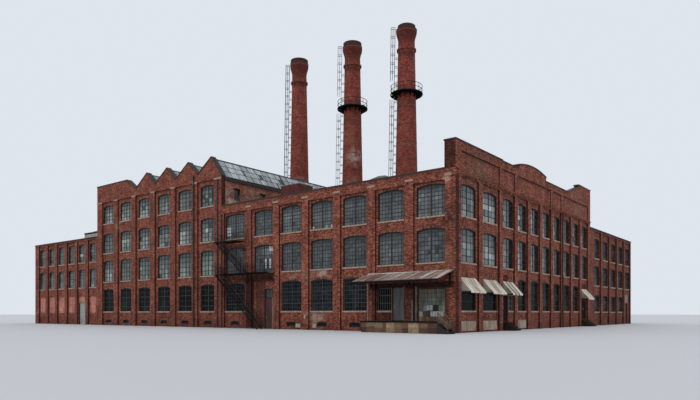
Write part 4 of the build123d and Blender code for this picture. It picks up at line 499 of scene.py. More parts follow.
# Steel sashes: putty and black paint, weathered to grey where the sun reaches.
sash_paint = worn_surface("weathered_sash_paint", None, "#2b2623", 0.35, 60.0, (1, 1, 0.3), (0.5, 0.8), [
    (0.0, "#151617"), (0.5, "#34383a"), (1.0, "#8d9290")])
print(len(bpy.data.materials), "materials so far")

# %% [markdown]
# ## Old window glass
# Each sash has dozens of panes, replaced over the years: some are clear and dark, some dusty, some painted
# over. A pane's tone picks its colour, its tint leans it to green or blue, and a film of dust lies on it in
# clouds. Glass is smooth but not flat, so a slow ripple bends what it reflects.

# %% Glass finish
def old_glass(name, stops, dust="#6f7069", dirt=0.3, shine=0.5, ior=1.5):
    """Rippled glass whose ramp gives each pane its darkness, under a film of dust."""
    finish, tree, shader = start_finish(name)
    where = add(tree, "TexCoord", output="Object")
    tone = add(tree, "Attribute", output="Fac", attribute_name="tone")
    tint = add(tree, "Attribute", output="Fac", attribute_name="tint")
    base = add(tree, "ValToRGB", {0: tone}, stops=stops)
    cast = add(tree, "ValToRGB", {0: tint}, stops=[
        (0.0, "#b9bfcc"), (0.5, "#c8c8c8"), (1.0, "#b6cbb9")])
    base = add(tree, "VectorMath", {0: base, 1: cast}, operation="MULTIPLY")
    base = add(tree, "VectorMath", {0: base, "Scale": 1.72}, operation="SCALE")
    cloud = add(tree, "TexNoise", {"Vector": where, "Scale": 30.0, "Detail": 6.0})
    dusty = add(tree, "MapRange", {0: cloud, 1: 0.45, 2: 0.7, 3: 0.0, 4: dirt})
    colour = add(tree, "Mix", {0: dusty, 6: base, 7: linear(dust)}, output=2, data_type="RGBA")
    tree.links.new(colour, shader.inputs["Base Color"])
    shader.inputs["Roughness"].default_value = 0.16
    shader.inputs["IOR"].default_value = ior
    shader.inputs["Specular IOR Level"].default_value = shine
    bump = add(tree, "Bump", {"Height": cloud, "Strength": 0.25, "Distance": 0.001})
    tree.links.new(bump, shader.inputs["Normal"])
    return finish


window_glass = old_glass("dusty_crown_glass", [
    (0.0, "#0c0e0f"), (0.25, "#212526"), (0.5, "#3a3f40"), (0.75, "#646a69"), (1.0, "#bcc1bd")])
# Ground floor glass: soot behind and grime before it, so it hardly mirrors the sky.
sooty_glass = old_glass("sooty_ground_floor_glass", [
    (0.0, "#050606"), (0.25, "#181b1d"), (0.5, "#34393a"), (0.75, "#5f6564"), (1.0, "#a3a7a2")],
    "#3a3b38", 0.2, 0.3, 1.12)
# Roof glass: wired and whitewashed, so it is pale all over.
roof_glass = old_glass("wired_roof_glass", [
    (0.0, "#1b1d1e"), (0.3, "#878e92"), (0.6, "#b4bbbf"), (1.0, "#dde3e6")], "#989ca0")
print("glass:", window_glass.name, sooty_glass.name, roof_glass.name)

# %% [markdown]
# ## Which finish goes where
# Every node of the model keeps its shape and takes a finished material. The slots of the record say what
# it is made of, and a short table picks the finer differences.

# %% Finish the model's own nodes
# The cloth slot belongs to the model's plain awnings, which are replaced further down and never show.
FINISHES = {
    "brick": brick_yard, "stone": limestone, "coping": coping, "floor": concrete,
    "roofing": roof_felt, "glass": window_glass, "iron": iron_paint, "sheet_metal": rust_sheet,
    "cloth": limestone, "timber": boards,
}
SPECIAL = {
    "rear_wing_street_wall": brick_rear, "wing_infills": brick_infill, "stacks": brick_stack,
    "stone_trim": brick_course, "party_wall": brick_party, "saw_roof_slopes": slate, "saw_ridges": coping,
    "saw_roof_lights": roof_glass, "stack_ladders": galvanised, "roof_houses": red_house,
    "side_stoops": dark_stoop, "dock_door": dock_door_paint, "escape_door": escape_door_paint,
}
for finish, names in (
        (brick_front, ("front_wall_ground", "front_wall_upper", "door_heads")),
        (brick_side, ("side_wall_ground", "side_wall_upper", "side_parapet")),
        (brick_saw, ("saw_front_wall", "saw_gables", "wing_front_wall")),
        (black_iron, ("stack_galleries", "escape_landings", "escape_stringers", "escape_treads",
                      "canopy_frame")),
        (black_door_paint, ("side_door", "pair_door_near", "pair_door_far"))):
    SPECIAL.update(dict.fromkeys(names, finish))
for name, node in nodes.items():
    slot_name = next(row["material_slot"] for row in frame["record"]["subparts"] if row["node"] == name)
    for holder in node.material_slots:
        holder.material = SPECIAL.get(name, FINISHES[slot_name])
print("finished", len(nodes), "nodes with", len(set(FINISHES.values()) | set(SPECIAL.values())), "materials")

# %% [markdown]
# ## Working on walls
# A builder measures along a wall, into it and up. The same three numbers place everything here, in model
# millimetres, and each wall knows how to turn them into points of the frame. That is simpler than turning
# and moving every piece once it is made.

# %% Walls
MM = 0.001
UP = Vector((0, 0, 1))


class Wall:
    """A wall's own directions: u along it, d into it from its pier face, z up."""

    def __init__(self, origin, along, out, up=UP):
        self.origin, self.along, self.out, self.up = Vector(origin), Vector(along), Vector(out), Vector(up)

    def point(self, u, d, z):
        """The point of the frame, in metres, for a place given in model millimetres."""
        return self.origin + (self.along * u - self.out * d + self.up * z) * MM


WEST, NORTH, EAST, SOUTH = (-1, 0, 0), (0, 1, 0), (1, 0, 0), (0, -1, 0)
# The street corner, in metres, from which both street walls are measured.
CORNER_X, CORNER_Y = 3.7545, -2.763
FRONT = Wall((CORNER_X, CORNER_Y, 0), WEST, SOUTH)
SIDE = Wall((CORNER_X, CORNER_Y, 0), NORTH, EAST)
PARTY = Wall((0.7595, CORNER_Y, 0), NORTH, EAST)
WALLS = {"front": FRONT, "side": SIDE, "party": PARTY}
for name, y in (("court", -0.563), ("wing_rear", -1.163), ("range_end", 0.907), ("rear_end", 3.017)):
    WALLS[name] = Wall((CORNER_X, y, 0), WEST, NORTH)
for name, x in (("range_court", 2.3545), ("rear_court", 2.5545), ("wing_west", -3.8605)):
    WALLS[name] = Wall((x, CORNER_Y, 0), NORTH, WEST)
print(len(WALLS), "walls; 100 mm into the front wall by the corner is", FRONT.point(0, 100, 0))

# %% [markdown]
# ## A workbench for flat pieces
# Nearly all that is added is flat: bars, panes, bricks, boards. So outlines are drawn on the walls as single
# faces, and bmesh's solidify gives a whole batch its thickness at once, which is far quicker than adding
# thousands of cubes. Each face carries its tone and tint, which the finishes read.

# %% The workbench
class Workbench:
    """Gathers flat faces in batches of one thickness, then makes them one piece."""

    def __init__(self):
        self.bm = bmesh.new()
        self.tone = self.bm.faces.layers.float.new("tone")
        self.tint = self.bm.faces.layers.float.new("tint")
        self.batches = {}

    def face(self, points, out, depth, tone=0.5, tint=0.5, finish=0):
        """A flat face that looks towards out, with depth millimetres behind it."""
        turn = (points[1] - points[0]).cross(points[2] - points[1])
        if turn.dot(out) < 0:
            points = points[::-1]
        made = self.bm.faces.new([self.bm.verts.new(p) for p in points])
        made[self.tone] = tone
        made[self.tint] = tint
        made.material_index = finish
        self.batches.setdefault(depth, []).append(made)

    def outline(self, wall, corners, d, depth, tone=0.5, tint=0.5, finish=0):
        """A flat shape on a wall, drawn by its (u, z) corners."""
        self.face([wall.point(u, d, z) for u, z in corners], wall.out, depth, tone, tint, finish)

    def board(self, wall, u, z, d, depth, tone=0.5, tint=0.5, finish=0):
        """A straight board on a wall, from u to u and from z to z."""
        corners = [(u[0], z[0]), (u[1], z[0]), (u[1], z[1]), (u[0], z[1])]
        self.outline(wall, corners, d, depth, tone, tint, finish)

    def rod(self, start, end, width, tone=0.5, finish=0):
        """A square bar between two points of the frame, width millimetres thick."""
        run = end - start
        across = run.cross(UP if abs(run.normalized().z) < 0.9 else Vector((1, 0, 0))).normalized()
        out = across.cross(run).normalized()
        half = across * width * MM / 2
        lift = out * width * MM / 2
        corners = [start - half + lift, end - half + lift, end + half + lift, start + half + lift]
        self.face(corners, out, width, tone, 0.5, finish)

    def plank(self, wall, u, d, z, depth, tone=0.5, finish=0):
        """A level board that lies at height z, seen from above."""
        corners = [(u[0], d[0]), (u[1], d[0]), (u[1], d[1]), (u[0], d[1])]
        self.face([wall.point(a, b, z) for a, b in corners], UP, depth, tone, finish=finish)

    def done(self, name, materials, slot, body="building"):
        """Gives the batches their thickness and hands over the finished piece."""
        self.bm.normal_update()
        for depth, faces in self.batches.items():
            if depth:
                bmesh.ops.solidify(self.bm, geom=faces, thickness=depth * MM)
        return hand_over(name, self.bm, materials, body)


# A trial board prints the area that its sizes give.
trial = Workbench()
trial.board(FRONT, (0, 225), (0, 75), 0, 10)
print("a board of 225 by 75 mm has", round(sum(f.calc_area() for f in trial.bm.faces), 6), "square metres")
trial.bm.free()

# %% [markdown]
# ## Finding the windows
# The model closes each window with one sheet of glass. Its loose sheets are read here, so a sash can never
# sit beside its opening: the thin side tells which wall it is in, and its corners give the sill, the
# springing of the arch and the crown.

# %% Read every window from the model's glass
GLASS_FACE = 34


def loose_parts(node):
    """The corner points of each separate solid in a node."""
    bm = bmesh.new()
    bm.from_mesh(node.data)
    bmesh.ops.remove_doubles(bm, verts=bm.verts, dist=1e-6)
    left = set(bm.verts)
    parts = []
    while left:
        stack = [left.pop()]
        part = []
        while stack:
            vert = stack.pop()
            part.append(vert.co.copy())
            for edge in vert.link_edges:
                other = edge.other_vert(vert)
                if other in left:
                    left.discard(other)
                    stack.append(other)
        parts.append(part)
    bm.free()
    return parts


class Window:
    """One window opening: its wall, sides, sill, springing and crown, in model millimetres."""

    def __init__(self, part, candidates):
        middle = sum(part, Vector()) / len(part)
        for self.place, wall in candidates:
            depth = -(middle - wall.origin).dot(wall.out) / MM
            spread = max(p.dot(wall.out) for p in part) - min(p.dot(wall.out) for p in part)
            if abs(depth - GLASS_FACE - 2) < 1 and spread < 0.005:
                break
        else:
            raise ValueError("a glass sheet in no wall")
        self.wall = wall
        flat = [((p - wall.origin).dot(wall.along) / MM, p.z / MM) for p in part]
        self.left, self.right = min(u for u, _ in flat), max(u for u, _ in flat)
        self.sill, self.crown = min(z for _, z in flat), max(z for _, z in flat)
        self.spring = max(z for u, z in flat if abs(u - self.left) < 0.5)
        self.middle, self.width = (self.left + self.right) / 2, self.right - self.left

    def head(self, u):
        """The height of the arch above u."""
        rise, half = self.crown - self.spring, self.width / 2
        if rise < 1:
            return self.crown
        radius = (half ** 2 + rise ** 2) / (2 * rise)
        return self.crown - radius + math.sqrt(max(radius ** 2 - (u - self.middle) ** 2, 0))


street_walls = [("front", FRONT), ("side", SIDE)]
yard_walls = [item for item in WALLS.items() if item[1] not in (FRONT, SIDE)]
windows = [Window(part, street_walls) for part in loose_parts(nodes["street_glazing"])]
windows += [Window(part, yard_walls) for part in loose_parts(nodes["court_glazing"])]
windows.sort(key=lambda w: (w.place, round(w.sill), round(w.left)))
print(len(windows), "windows;", sum(w.crown - w.spring > 1 for w in windows), "with arched heads")

# %% [markdown]
# ## Steel sashes
# A factory sash is rolled steel: a frame, a stout mullion in the middle, slim glazing bars, and thicker
# rails where a vent can swing. Each block of the building has its own pattern, which a small table gives.
# The bars stand a few millimetres before the glass, and behind them each pane is a sheet of its own.

# %% Sash patterns
rng = random.Random(1907)
# Levels, then where the blocks start along the front or the side street, all in model millimetres.
CELLAR_TOP, FIRST_FLOOR, SECOND_FLOOR = 100, 500, 900
SAW_START, WING_START = 2995, 5700
SHOPS_END, REAR_START = 850, 3670
PATTERNS = {
    # Columns, rows, width of the mullion and of a glazing bar, the rows (from the top) with a thick rail
    # under them, the panes' lowest and highest tone, their tint, and the bars' tone.
    "corner_upper": (8, 8, 14, 2.8, (2, 5), (0.46, 0.76), 0.5, 0.0),
    "corner_first": (8, 8, 14, 2.8, (2, 5), (0.38, 0.72), 0.35, 0.0),
    "corner_ground": (8, 8, 8, 2.8, (2, 5), (0.1, 0.42), 0.1, 0.5),
    "saw_upper": (4, 5, 13, 4.4, (0, 1, 2, 3), (0.62, 0.92), 0.7, 0.0),
    "saw_ground": (4, 5, 11, 3.0, (1, 3), (0.05, 0.35), 0.6, 0.3),
    "wing": (2, 6, 0, 3.0, (2,), (0.35, 0.85), 0.6, 0.05),
    "side_upper": (4, 5, 12, 3.4, (1, 3), (0.6, 0.98), 0.5, 0.0),
    "side_ground": (4, 5, 9, 3.0, (3,), (0.1, 0.6), 0.95, 0.02),
    "shop": (3, 4, 0, 3.0, (), (0.0, 0.08), 0.9, 0.05),
    "rear": (4, 6, 7, 2.8, (), (0.2, 0.75), 0.7, 0.1),
    "yard": (4, 5, 6, 3.0, (), (0.25, 0.55), 0.5, 0.2),
    "slit": (2, 3, 0, 4.0, (), (0.55, 0.8), 0.5, 0.0),
    "cellar": (9, 1, 0, 3.0, (), (0.02, 0.14), 0.5, 0.3),
    "dock": (6, 3, 0, 4.0, (), (0.02, 0.14), 0.5, 0.6),
    "transom": (2, 2, 0, 4.0, (), (0.2, 0.35), 0.5, 0.3),
    "sidelight": (2, 3, 0, 4.0, (), (0.1, 0.3), 0.5, 0.9),
}


def pattern_of(w):
    """Which sash a window has, from where it is."""
    on_ground = w.sill < FIRST_FLOOR
    if w.crown < CELLAR_TOP:
        return "cellar"
    if w.place == "front":
        if w.left > WING_START:
            return "wing"
        if w.left > SAW_START:
            return "saw_ground" if on_ground else "saw_upper"
        if w.width < 160:
            return "transom" if w.width < 125 else "dock"
        return "corner_ground" if on_ground else ("corner_first" if w.sill < SECOND_FLOOR else "corner_upper")
    if w.place == "side":
        if w.left > REAR_START:
            return "rear"
        if w.width < 120:
            return "sidelight"
        if on_ground:
            return "shop" if w.right < SHOPS_END else "side_ground"
        return "side_upper"
    return "slit" if w.place == "party" else "yard"


for w in windows:
    w.pattern = pattern_of(w)
print({name: sum(w.pattern == name for w in windows) for name in PATTERNS})

# %% [markdown]
# ## Frames and bars
# A sash is rolled to one section and cut to length, so each bar here is one board on the window's own grid.
# The frame follows the arch in eight short steps, and the mullion stands a little before the slim bars. Its
# head strip and the jambs of wide windows are drawn broader, and the head darker, as painted shade.

# %% Frames and bars
FRAME_WIDTH = 6
BAR_FACE = 30


def arch_strip(bench, w, width, d, depth, tone, steps=8):
    """A strip that follows the underside of a window's head."""
    us = [w.left, w.right]
    if w.crown - w.spring > 1:
        us = [w.left + w.width * i / steps for i in range(steps + 1)]
    for u0, u1 in zip(us, us[1:]):
        z0, z1 = w.head(u0), w.head(u1)
        bench.outline(w.wall, [(u0, z0 - width), (u1, z1 - width), (u1, z1), (u0, z0)], d, depth, tone)


def grid_lines(w, columns, rows):
    """Where the panes of a window meet, along it and up it."""
    us = [w.left + w.width * i / columns for i in range(columns + 1)]
    zs = [w.sill + (w.crown - w.sill) * j / rows for j in range(rows + 1)]
    return us, zs


def draw_sash(bars, w):
    """The frame and the bars of one window."""
    columns, rows, mullion, glazing_bar, rails, _, _, bar_tone = PATTERNS[w.pattern]
    wall, above_ground = w.wall, w.crown > CELLAR_TOP
    bars.board(wall, (w.left, w.right), (w.sill, w.sill + FRAME_WIDTH), BAR_FACE - 1, 6, bar_tone)
    # Painted shade beside the reveals and under the arch: wide windows get broader jambs, and above the
    # cellars the head strip is broader and at half the bars' tone.
    jamb = FRAME_WIDTH + 3 if above_ground and w.width > 200 else FRAME_WIDTH
    for side in (w.left, w.right - jamb):
        bars.board(wall, (side, side + jamb), (w.sill, w.spring), BAR_FACE - 1, 6, bar_tone)
    top = FRAME_WIDTH + 5 if above_ground else FRAME_WIDTH
    arch_strip(bars, w, top, BAR_FACE - 1, 6, bar_tone * 0.5)
    us, zs = grid_lines(w, columns, rows)
    for i, u in enumerate(us[1:-1], 1):
        wide = mullion if mullion and i * 2 == columns else glazing_bar
        d = BAR_FACE if wide > 4 else BAR_FACE + 1.5
        bars.board(wall, (u - wide / 2, u + wide / 2), (w.sill, w.head(u)), d, 2.5, bar_tone)
    for j, z in enumerate(zs[1:-1], 1):
        wide = 6.5 if rows - j in [r + 1 for r in rails] else glazing_bar + 0.6
        bars.board(wall, (w.left, w.right), (z - wide / 2, z + wide / 2), BAR_FACE + 1, 3, bar_tone)


print("a frame is", FRAME_WIDTH, "mm wide, and its bars lie", BAR_FACE, "mm behind the piers")

# %% [markdown]
# ## Panes that stand out
# A few panes of the real front catch the eye: black gaps, pale new ones and whole blocks in another tone. A
# short table names these by window, column and row, and all others are left to chance.

# %% Panes that stand out
def pane_block(columns, rows, tone):
    """One tone for a whole block of panes."""
    return {(i, j): tone for i in columns for j in rows}


# Panes that stand out on the real front: their window, then column and row, then tone.
OLD_PANES = {
    ("front", 3260, 1420): {(0, 2): 0.02, (0, 3): 0.02, (1, 2): 0.3},
    ("front", 2780, 1005): pane_block(range(8), (5, 6, 7), 0.52) | pane_block((6, 7), (1, 2, 3), 0.95),
    ("front", 2321, 607): (
        pane_block(range(5), (5, 6), 0.76) | pane_block((0, 1), (6, 7), 1.0)
        | pane_block((1, 3), (1, 2, 3), 1.0) | pane_block((2,), range(4), 0.03)
        | pane_block(range(8), (0,), 0.5)),
    ("front", 1493, 1005): {(0, 0): 0.95, (2, 0): 0.85, (7, 0): 0.9},
    ("front", 3260, 1005): {(1, 3): 0.1, (2, 2): 0.95},
    ("side", 691, 1005): {(2, 2): 0.95, (3, 2): 0.85},
    ("front", 251, 607): {(2, 3): 0.0, (1, 3): 0.05, (2, 2): 0.1},
    ("front", 1079, 607): {(0, 2): 0.0, (0, 3): 0.1},
}
print(sum(len(row) for row in OLD_PANES.values()), "panes stand out in", len(OLD_PANES), "windows")

# %% [markdown]
# ## Panes
# A glazier puts one pane at a time into the steel, so here too each window is made pane by pane. The tone
# of a pane drifts in slow clouds over its window, as the glass of one delivery weathers alike, with a few
# odd panes thrown in: broken, painted over or lately renewed. Each pane is tipped a little, so that no two
# mirror the same piece of sky.

# %% Panes
PANE_FACE = 33
SOOTY_PATTERNS = ("corner_ground", "saw_ground", "side_ground", "shop", "rear", "dock", "cellar")


def draw_panes(panes, w):
    """The panes of one window, each with its own tone, tint and tip."""
    columns, rows, _, _, _, tones, tint, _ = PATTERNS[w.pattern]
    us, zs = grid_lines(w, columns, rows)
    base = rng.uniform(-0.08, 0.08)
    phase = rng.uniform(0, 6), rng.uniform(0, 6)
    sooty = int(w.pattern in SOOTY_PATTERNS)
    old_panes = OLD_PANES.get((w.place, round(w.middle), round(w.sill)), {})
    lean = tint + rng.uniform(-0.15, 0.15)
    for i in range(columns):
        for j in range(rows):
            u0, u1 = us[i] + 0.5, us[i + 1] - 0.5
            z0, z1 = zs[j] + 0.5, min(zs[j + 1] - 0.5, min(w.head(u0), w.head(u1)))
            if z1 - z0 < 2:
                continue
            cloud = 0.5 + 0.25 * math.sin(i * 1.1 + phase[0]) + 0.25 * math.sin(j * 1.3 + phase[1])
            share = 0.5 * rng.random() + 0.5 * cloud
            tone = tones[0] + (tones[1] - tones[0]) * share + base * (tones[1] > 0.3)
            chance = rng.random()
            if chance < 0.02:
                tone *= 0.15
            elif chance < (0.05 if w.pattern in ("wing", "yard") else 0.024) and w.sill > FIRST_FLOOR:
                tone += 0.2
            # Painted shade: the arch shades the top rows, the jamb the first column, and a deep reveal the
            # far columns of the narrow side windows, whose first two columns are painted lighter as a
            # reflection of the sky.
            if w.crown > CELLAR_TOP and w.place in ("front", "side"):
                tone *= {rows - 1: 0.45, rows - 2: 0.82}.get(j, 1.0)
            if i == 0 and w.place == "front":
                tone *= 0.75
            if w.pattern == "side_upper" and w.width < 240:
                tone *= (1.2, 1.05, 0.4, 0.12)[i]
            tone = min(max(old_panes.get((i, j), tone), 0), 1)
            tip = [rng.uniform(-0.35, 0.35) for _ in range(4)]
            corners = [(u0, z0), (u1, z0), (u1, z1), (u0, z1)]
            points = [w.wall.point(u, PANE_FACE + t, z) for (u, z), t in zip(corners, tip)]
            cast = min(max(lean + rng.uniform(-0.15, 0.15), 0), 1)
            panes.face(points, w.wall.out, 0, tone, cast, sooty)


print("panes lie", PANE_FACE - BAR_FACE, "mm behind the face of the bars")

# %% [markdown]
# ## Glazing the building
# All frames of a front are one piece and all its panes another, because a building with two hundred windows
# would be slow to handle otherwise. The ground floor's panes take the sootier of the two kinds of glass.

# %% Glaze every window
groups = {
    "front": ("corner_upper", "corner_first", "corner_ground", "dock", "transom", "cellar"),
    "saw_and_wing": ("saw_upper", "saw_ground", "wing"),
    "side_street": ("side_upper", "side_ground", "shop", "rear", "sidelight"),
    "yard": ("yard", "slit"),
}
for group, names in groups.items():
    bars, panes = Workbench(), Workbench()
    for w in windows:
        if w.pattern in names:
            draw_sash(bars, w)
            draw_panes(panes, w)
    bars.done(f"{group}_sashes", [sash_paint], "iron")
    panes.done(f"{group}_panes", [window_glass, sooty_glass], "glass")

# %% [markdown]
# ## Arches, corbels and courses
# Over each window bricks on end fan out round a segmental arch. Each is laid here as a wedge between two
# radii, a hair proud of the wall. Below the copings, bricks step out as small teeth, with a plain course
# over them, which is the cheapest cornice a bricklayer can make.

# %% Brick arches
PANEL = 18
RING, CELLAR_RING = 21, 10
WEDGE = 9.0
LINTEL_END = 20
arches = Workbench()
for w in windows:
    ring = RING if w.sill > CELLAR_TOP else CELLAR_RING
    if w.crown - w.spring < 1:
        if w.place in ("front", "side", "party"):
            continue
        long = w.width + 2 * LINTEL_END
        count = round(long / WEDGE)
        for i in range(count):
            u = w.left - LINTEL_END + long * i / count
            brick = (u + 0.4, u + long / count - 0.4)
            arches.board(w.wall, brick, (w.crown + 1, w.crown + ring), -0.7, 2, rng.uniform(0.1, 0.9))
        continue
    rise, half = w.crown - w.spring, w.width / 2
    radius = (half ** 2 + rise ** 2) / (2 * rise)
    reach = math.asin(half / radius)
    count = max(round(2 * reach * radius / WEDGE), 5)
    centre = (w.middle, w.crown - radius)
    for i in range(count):
        a0 = -reach + 2 * reach * i / count + 0.0006
        a1 = -reach + 2 * reach * (i + 1) / count - 0.0006
        low, high = radius + 0.6, radius + ring
        corners = [(centre[0] + r * math.sin(a), centre[1] + r * math.cos(a))
                   for a, r in ((a0, low), (a1, low), (a1, high), (a0, high))]
        arches.outline(w.wall, corners, PANEL - 0.8, 2, rng.uniform(0.05, 0.85))
arches.done("window_arches", [cut_brick], "brick")

# %% [markdown]
# ## Corbelled teeth
# One row differs from the next only by its place, so one function lays a row between two points of a wall.
# The flat piers interrupt the row under the front's cap course, and the street parapet has a row between two
# dark lines in each of its sunk panels; the upper line is a painted shadow under the panel's top.

# %% Corbelled teeth and courses
corbels = Workbench()


def teeth(wall, u, z, d, pitch=22.5, proud=4.0):
    """A row of brick ends between two places of a wall."""
    count = max(int((u[1] - u[0]) / pitch), 1)
    step = (u[1] - u[0]) / count
    for i in range(count):
        left = u[0] + step * i
        corbels.board(wall, (left + 1, left + step * 0.52), z, d - proud, proud + 1, rng.uniform(0.1, 0.9))


FRONT_PIERS = [(0, 101), (415, 501), (829, 915), (1243, 1329), (1657, 1743), (2071, 2157),
               (2497.5, 2583.5), (2950, 2995)]
SUNK_PANELS = ((101, 1310), (1345, 2060), (2095, 2770), (2800, 3180), (3215, 3565))
for (_, left), (right, _) in zip(FRONT_PIERS, FRONT_PIERS[1:]):
    teeth(FRONT, (left, right), (1288, 1299), PANEL)
teeth(FRONT, (104, 2990), (1370, 1381), 0)
corbels.board(FRONT, (104, 2992), (1382, 1389), -3, 4, 0.3)
teeth(FRONT, (5704, 7612), (1226, 1236), 0)
corbels.board(FRONT, (5704, 7612), (1237, 1243), -3, 4, 0.3)
teeth(SIDE, (4, 3668), (1333, 1344), 0)
for u in ((110, 1310), (2090, 2780), (3200, 3660)):
    teeth(SIDE, u, (1590, 1600), 0, proud=3)
teeth(SIDE, (3674, 5776), (1262, 1273), 0)
corbels.board(SIDE, (3674, 5776), (1274, 1280), -3, 4, 0.3)
teeth(PARTY, (70, 2130), (1672, 1682), 0, 30, 3)
for left, right in SUNK_PANELS:
    # Painted shadow: a near-black strip under the top of each sunk panel, then a dark line near its foot.
    corbels.board(SIDE, (left + 12, right - 12), (1538, 1548), 8.2, 1, 0.0)
    corbels.board(SIDE, (left + 12, right - 12), (1370, 1375), 8.2, 1, 0.05)
    teeth(SIDE, (left + 14, right - 14), (1524, 1534), 9, proud=3)
corbels.done("corbel_courses", [cut_brick], "brick")

# %% [markdown]
# ## Bricked-up heads
# When the shop windows got awnings, the arches above the canvas were walled up, almost flush with the panel.
# The filling follows the arch in ten short steps, which no eye can tell from a curve at this size.

# %% Bricked-up window heads over two awnings
FILLING_FOOT = 470
STEPS = 10
heads = Workbench()
for w in windows:
    if w.pattern == "shop":
        us = [w.left - 1 + (w.width + 2) * i / STEPS for i in range(STEPS + 1)]
        for u0, u1 in zip(us, us[1:]):
            top = (u1, w.head(u1) + 1), (u0, w.head(u0) + 1)
            heads.outline(SIDE, [(u0, FILLING_FOOT), (u1, FILLING_FOOT), *top], PANEL + 1.5, 6)
heads.done("bricked_up_heads", [brick_side], "brick")

# %% [markdown]
# ## Sawtooth roof lights
# Factories turned glazed slopes to the even light. Here long bars run from gutter to ridge with puttied
# panes between them, patched and broken in places. The slope is one more wall for the workbench, lying back
# along the roof.

# %% Roof light bars and panes
LIGHTS = [(2995, 1731, 3173, 1966)] + [(a, 1796, a + 178, 1966) for a in (3428, 3861, 4294)]
LIGHT_START, LIGHT_END = 62, 2138
PANE_COLUMNS = 72
PANE_ROWS = (0.0, 0.36, 0.68, 1.0)
HOLES = (21, 22, 33, 34, 35, 44, 45, 52)
step = (LIGHT_END - LIGHT_START) / PANE_COLUMNS
roof_bars, roof_panes = Workbench(), Workbench()
for a0, z0, a1, z1 in LIGHTS:
    foot, ridge = FRONT.point(a0, 0, z0), FRONT.point(a1, 0, z1)
    up = (ridge - foot).normalized()
    out = Vector(NORTH).cross(up)
    slope = Wall(foot, NORTH, out if out.z > 0 else -out, up)
    length = (ridge - foot).length / MM
    glazed = length - 18
    for i in range(PANE_COLUMNS + 1):
        u = LIGHT_START + step * i
        half = 1.6 if i % 4 else 4.0
        roof_bars.board(slope, (u - half, u + half), (4, length - 8), -5, 5, 0.8 if i % 4 else 0.0)
    for share in PANE_ROWS:
        z = 6 + glazed * share
        roof_bars.board(slope, (LIGHT_START - 2, LIGHT_END + 2), (z - 3, z + 3), -4, 4, 0.0)
    for i in range(PANE_COLUMNS):
        for j, (low, high) in enumerate(zip(PANE_ROWS, PANE_ROWS[1:])):
            left = LIGHT_START + step * i + 1
            tone = rng.uniform(0.5, 1.0) if i // 4 % 3 else rng.uniform(0.3, 0.6)
            if (i * 7 + j * 3) % 41 == 5 or (j == 1 and i in HOLES):
                tone = 0.03
            roof_panes.board(slope, (left, left + step - 2), (6 + glazed * low, 6 + glazed * high),
                             -1.5 - rng.uniform(0, 0.8), 0, tone, rng.uniform(0.3, 0.7))
    roof_bars.board(slope, (LIGHT_START - 4, LIGHT_END + 4), (-2, 12), -7, 7, 0.0)
roof_bars.done("roof_light_bars", [sash_paint], "iron")
roof_panes.done("roof_light_panes", [roof_glass], "glass")

# %% [markdown]
# ## Roof houses
# Three small houses stand on the flat roofs: a tall one clad in ribbed red sheet, a low greenish vent, and a
# lantern on the wing. Their plain bodies are in the model. Each of a house's four sides is treated as a
# small wall of its own, so one loop dresses all four alike. The tall house comes first.

# %% The tall house's ribs and lid
# Each house: from where to where along the front, and how far behind it.
TALL_HOUSE = ((2385, 2675), (640, 880))
VENT = ((1125, 1325), (600, 800))
LANTERN = ((6440, 6840), (420, 780))
RIB_PITCH = 20
# The level of the corner block's roof.
ROOF = 1327
HOUSE_FINISHES = [red_house, tin_white, green_sheet, coping, lead_sheet]
RED, WHITE, GREEN, DARK, LEAD = range(5)
houses = Workbench()


def round_walls(a, b):
    """The four upright sides of a box on a roof, as walls, with each side's length."""
    x0, x1 = FRONT.point(a[1], 0, 0).x, FRONT.point(a[0], 0, 0).x
    y0, y1 = FRONT.origin.y + b[0] * MM, FRONT.origin.y + b[1] * MM
    return [(Wall((x0, y0, 0), EAST, SOUTH), a[1] - a[0]), (Wall((x1, y0, 0), NORTH, EAST), b[1] - b[0]),
            (Wall((x1, y1, 0), WEST, NORTH), a[1] - a[0]), (Wall((x0, y1, 0), SOUTH, WEST), b[1] - b[0])]


# The tall house: upright ribs, a fascia, and a lead lid.
for wall, size in round_walls(*TALL_HOUSE):
    ribs = round(size / RIB_PITCH)
    for i in range(ribs):
        u = size * (i + 0.5) / ribs
        houses.board(wall, (u - 4, u + 4), (ROOF, 1672), -4, 5, 0.3, finish=RED)
    houses.board(wall, (-1, size + 1), (1640, 1680), -1, 4, 0.3, finish=RED)
    houses.board(wall, (-5, size + 5), (1676, 1686), -6, 7, 0.9, finish=LEAD)
houses.plank(FRONT, (2384, 2676), (639, 881), 1680, 10, finish=LEAD)
print(len(houses.bm.faces), "faces on the tall house")

# %% [markdown]
# ## The vent
# A vent lets hot air out of the floor below and keeps the rain off: louvres between corner posts, and a
# ribbed cowl whose four slopes lean together over the ridge of the plain body. Each slope is one face with
# four corners, thickened afterwards, since a solid cowl would need its hollow cut out again.

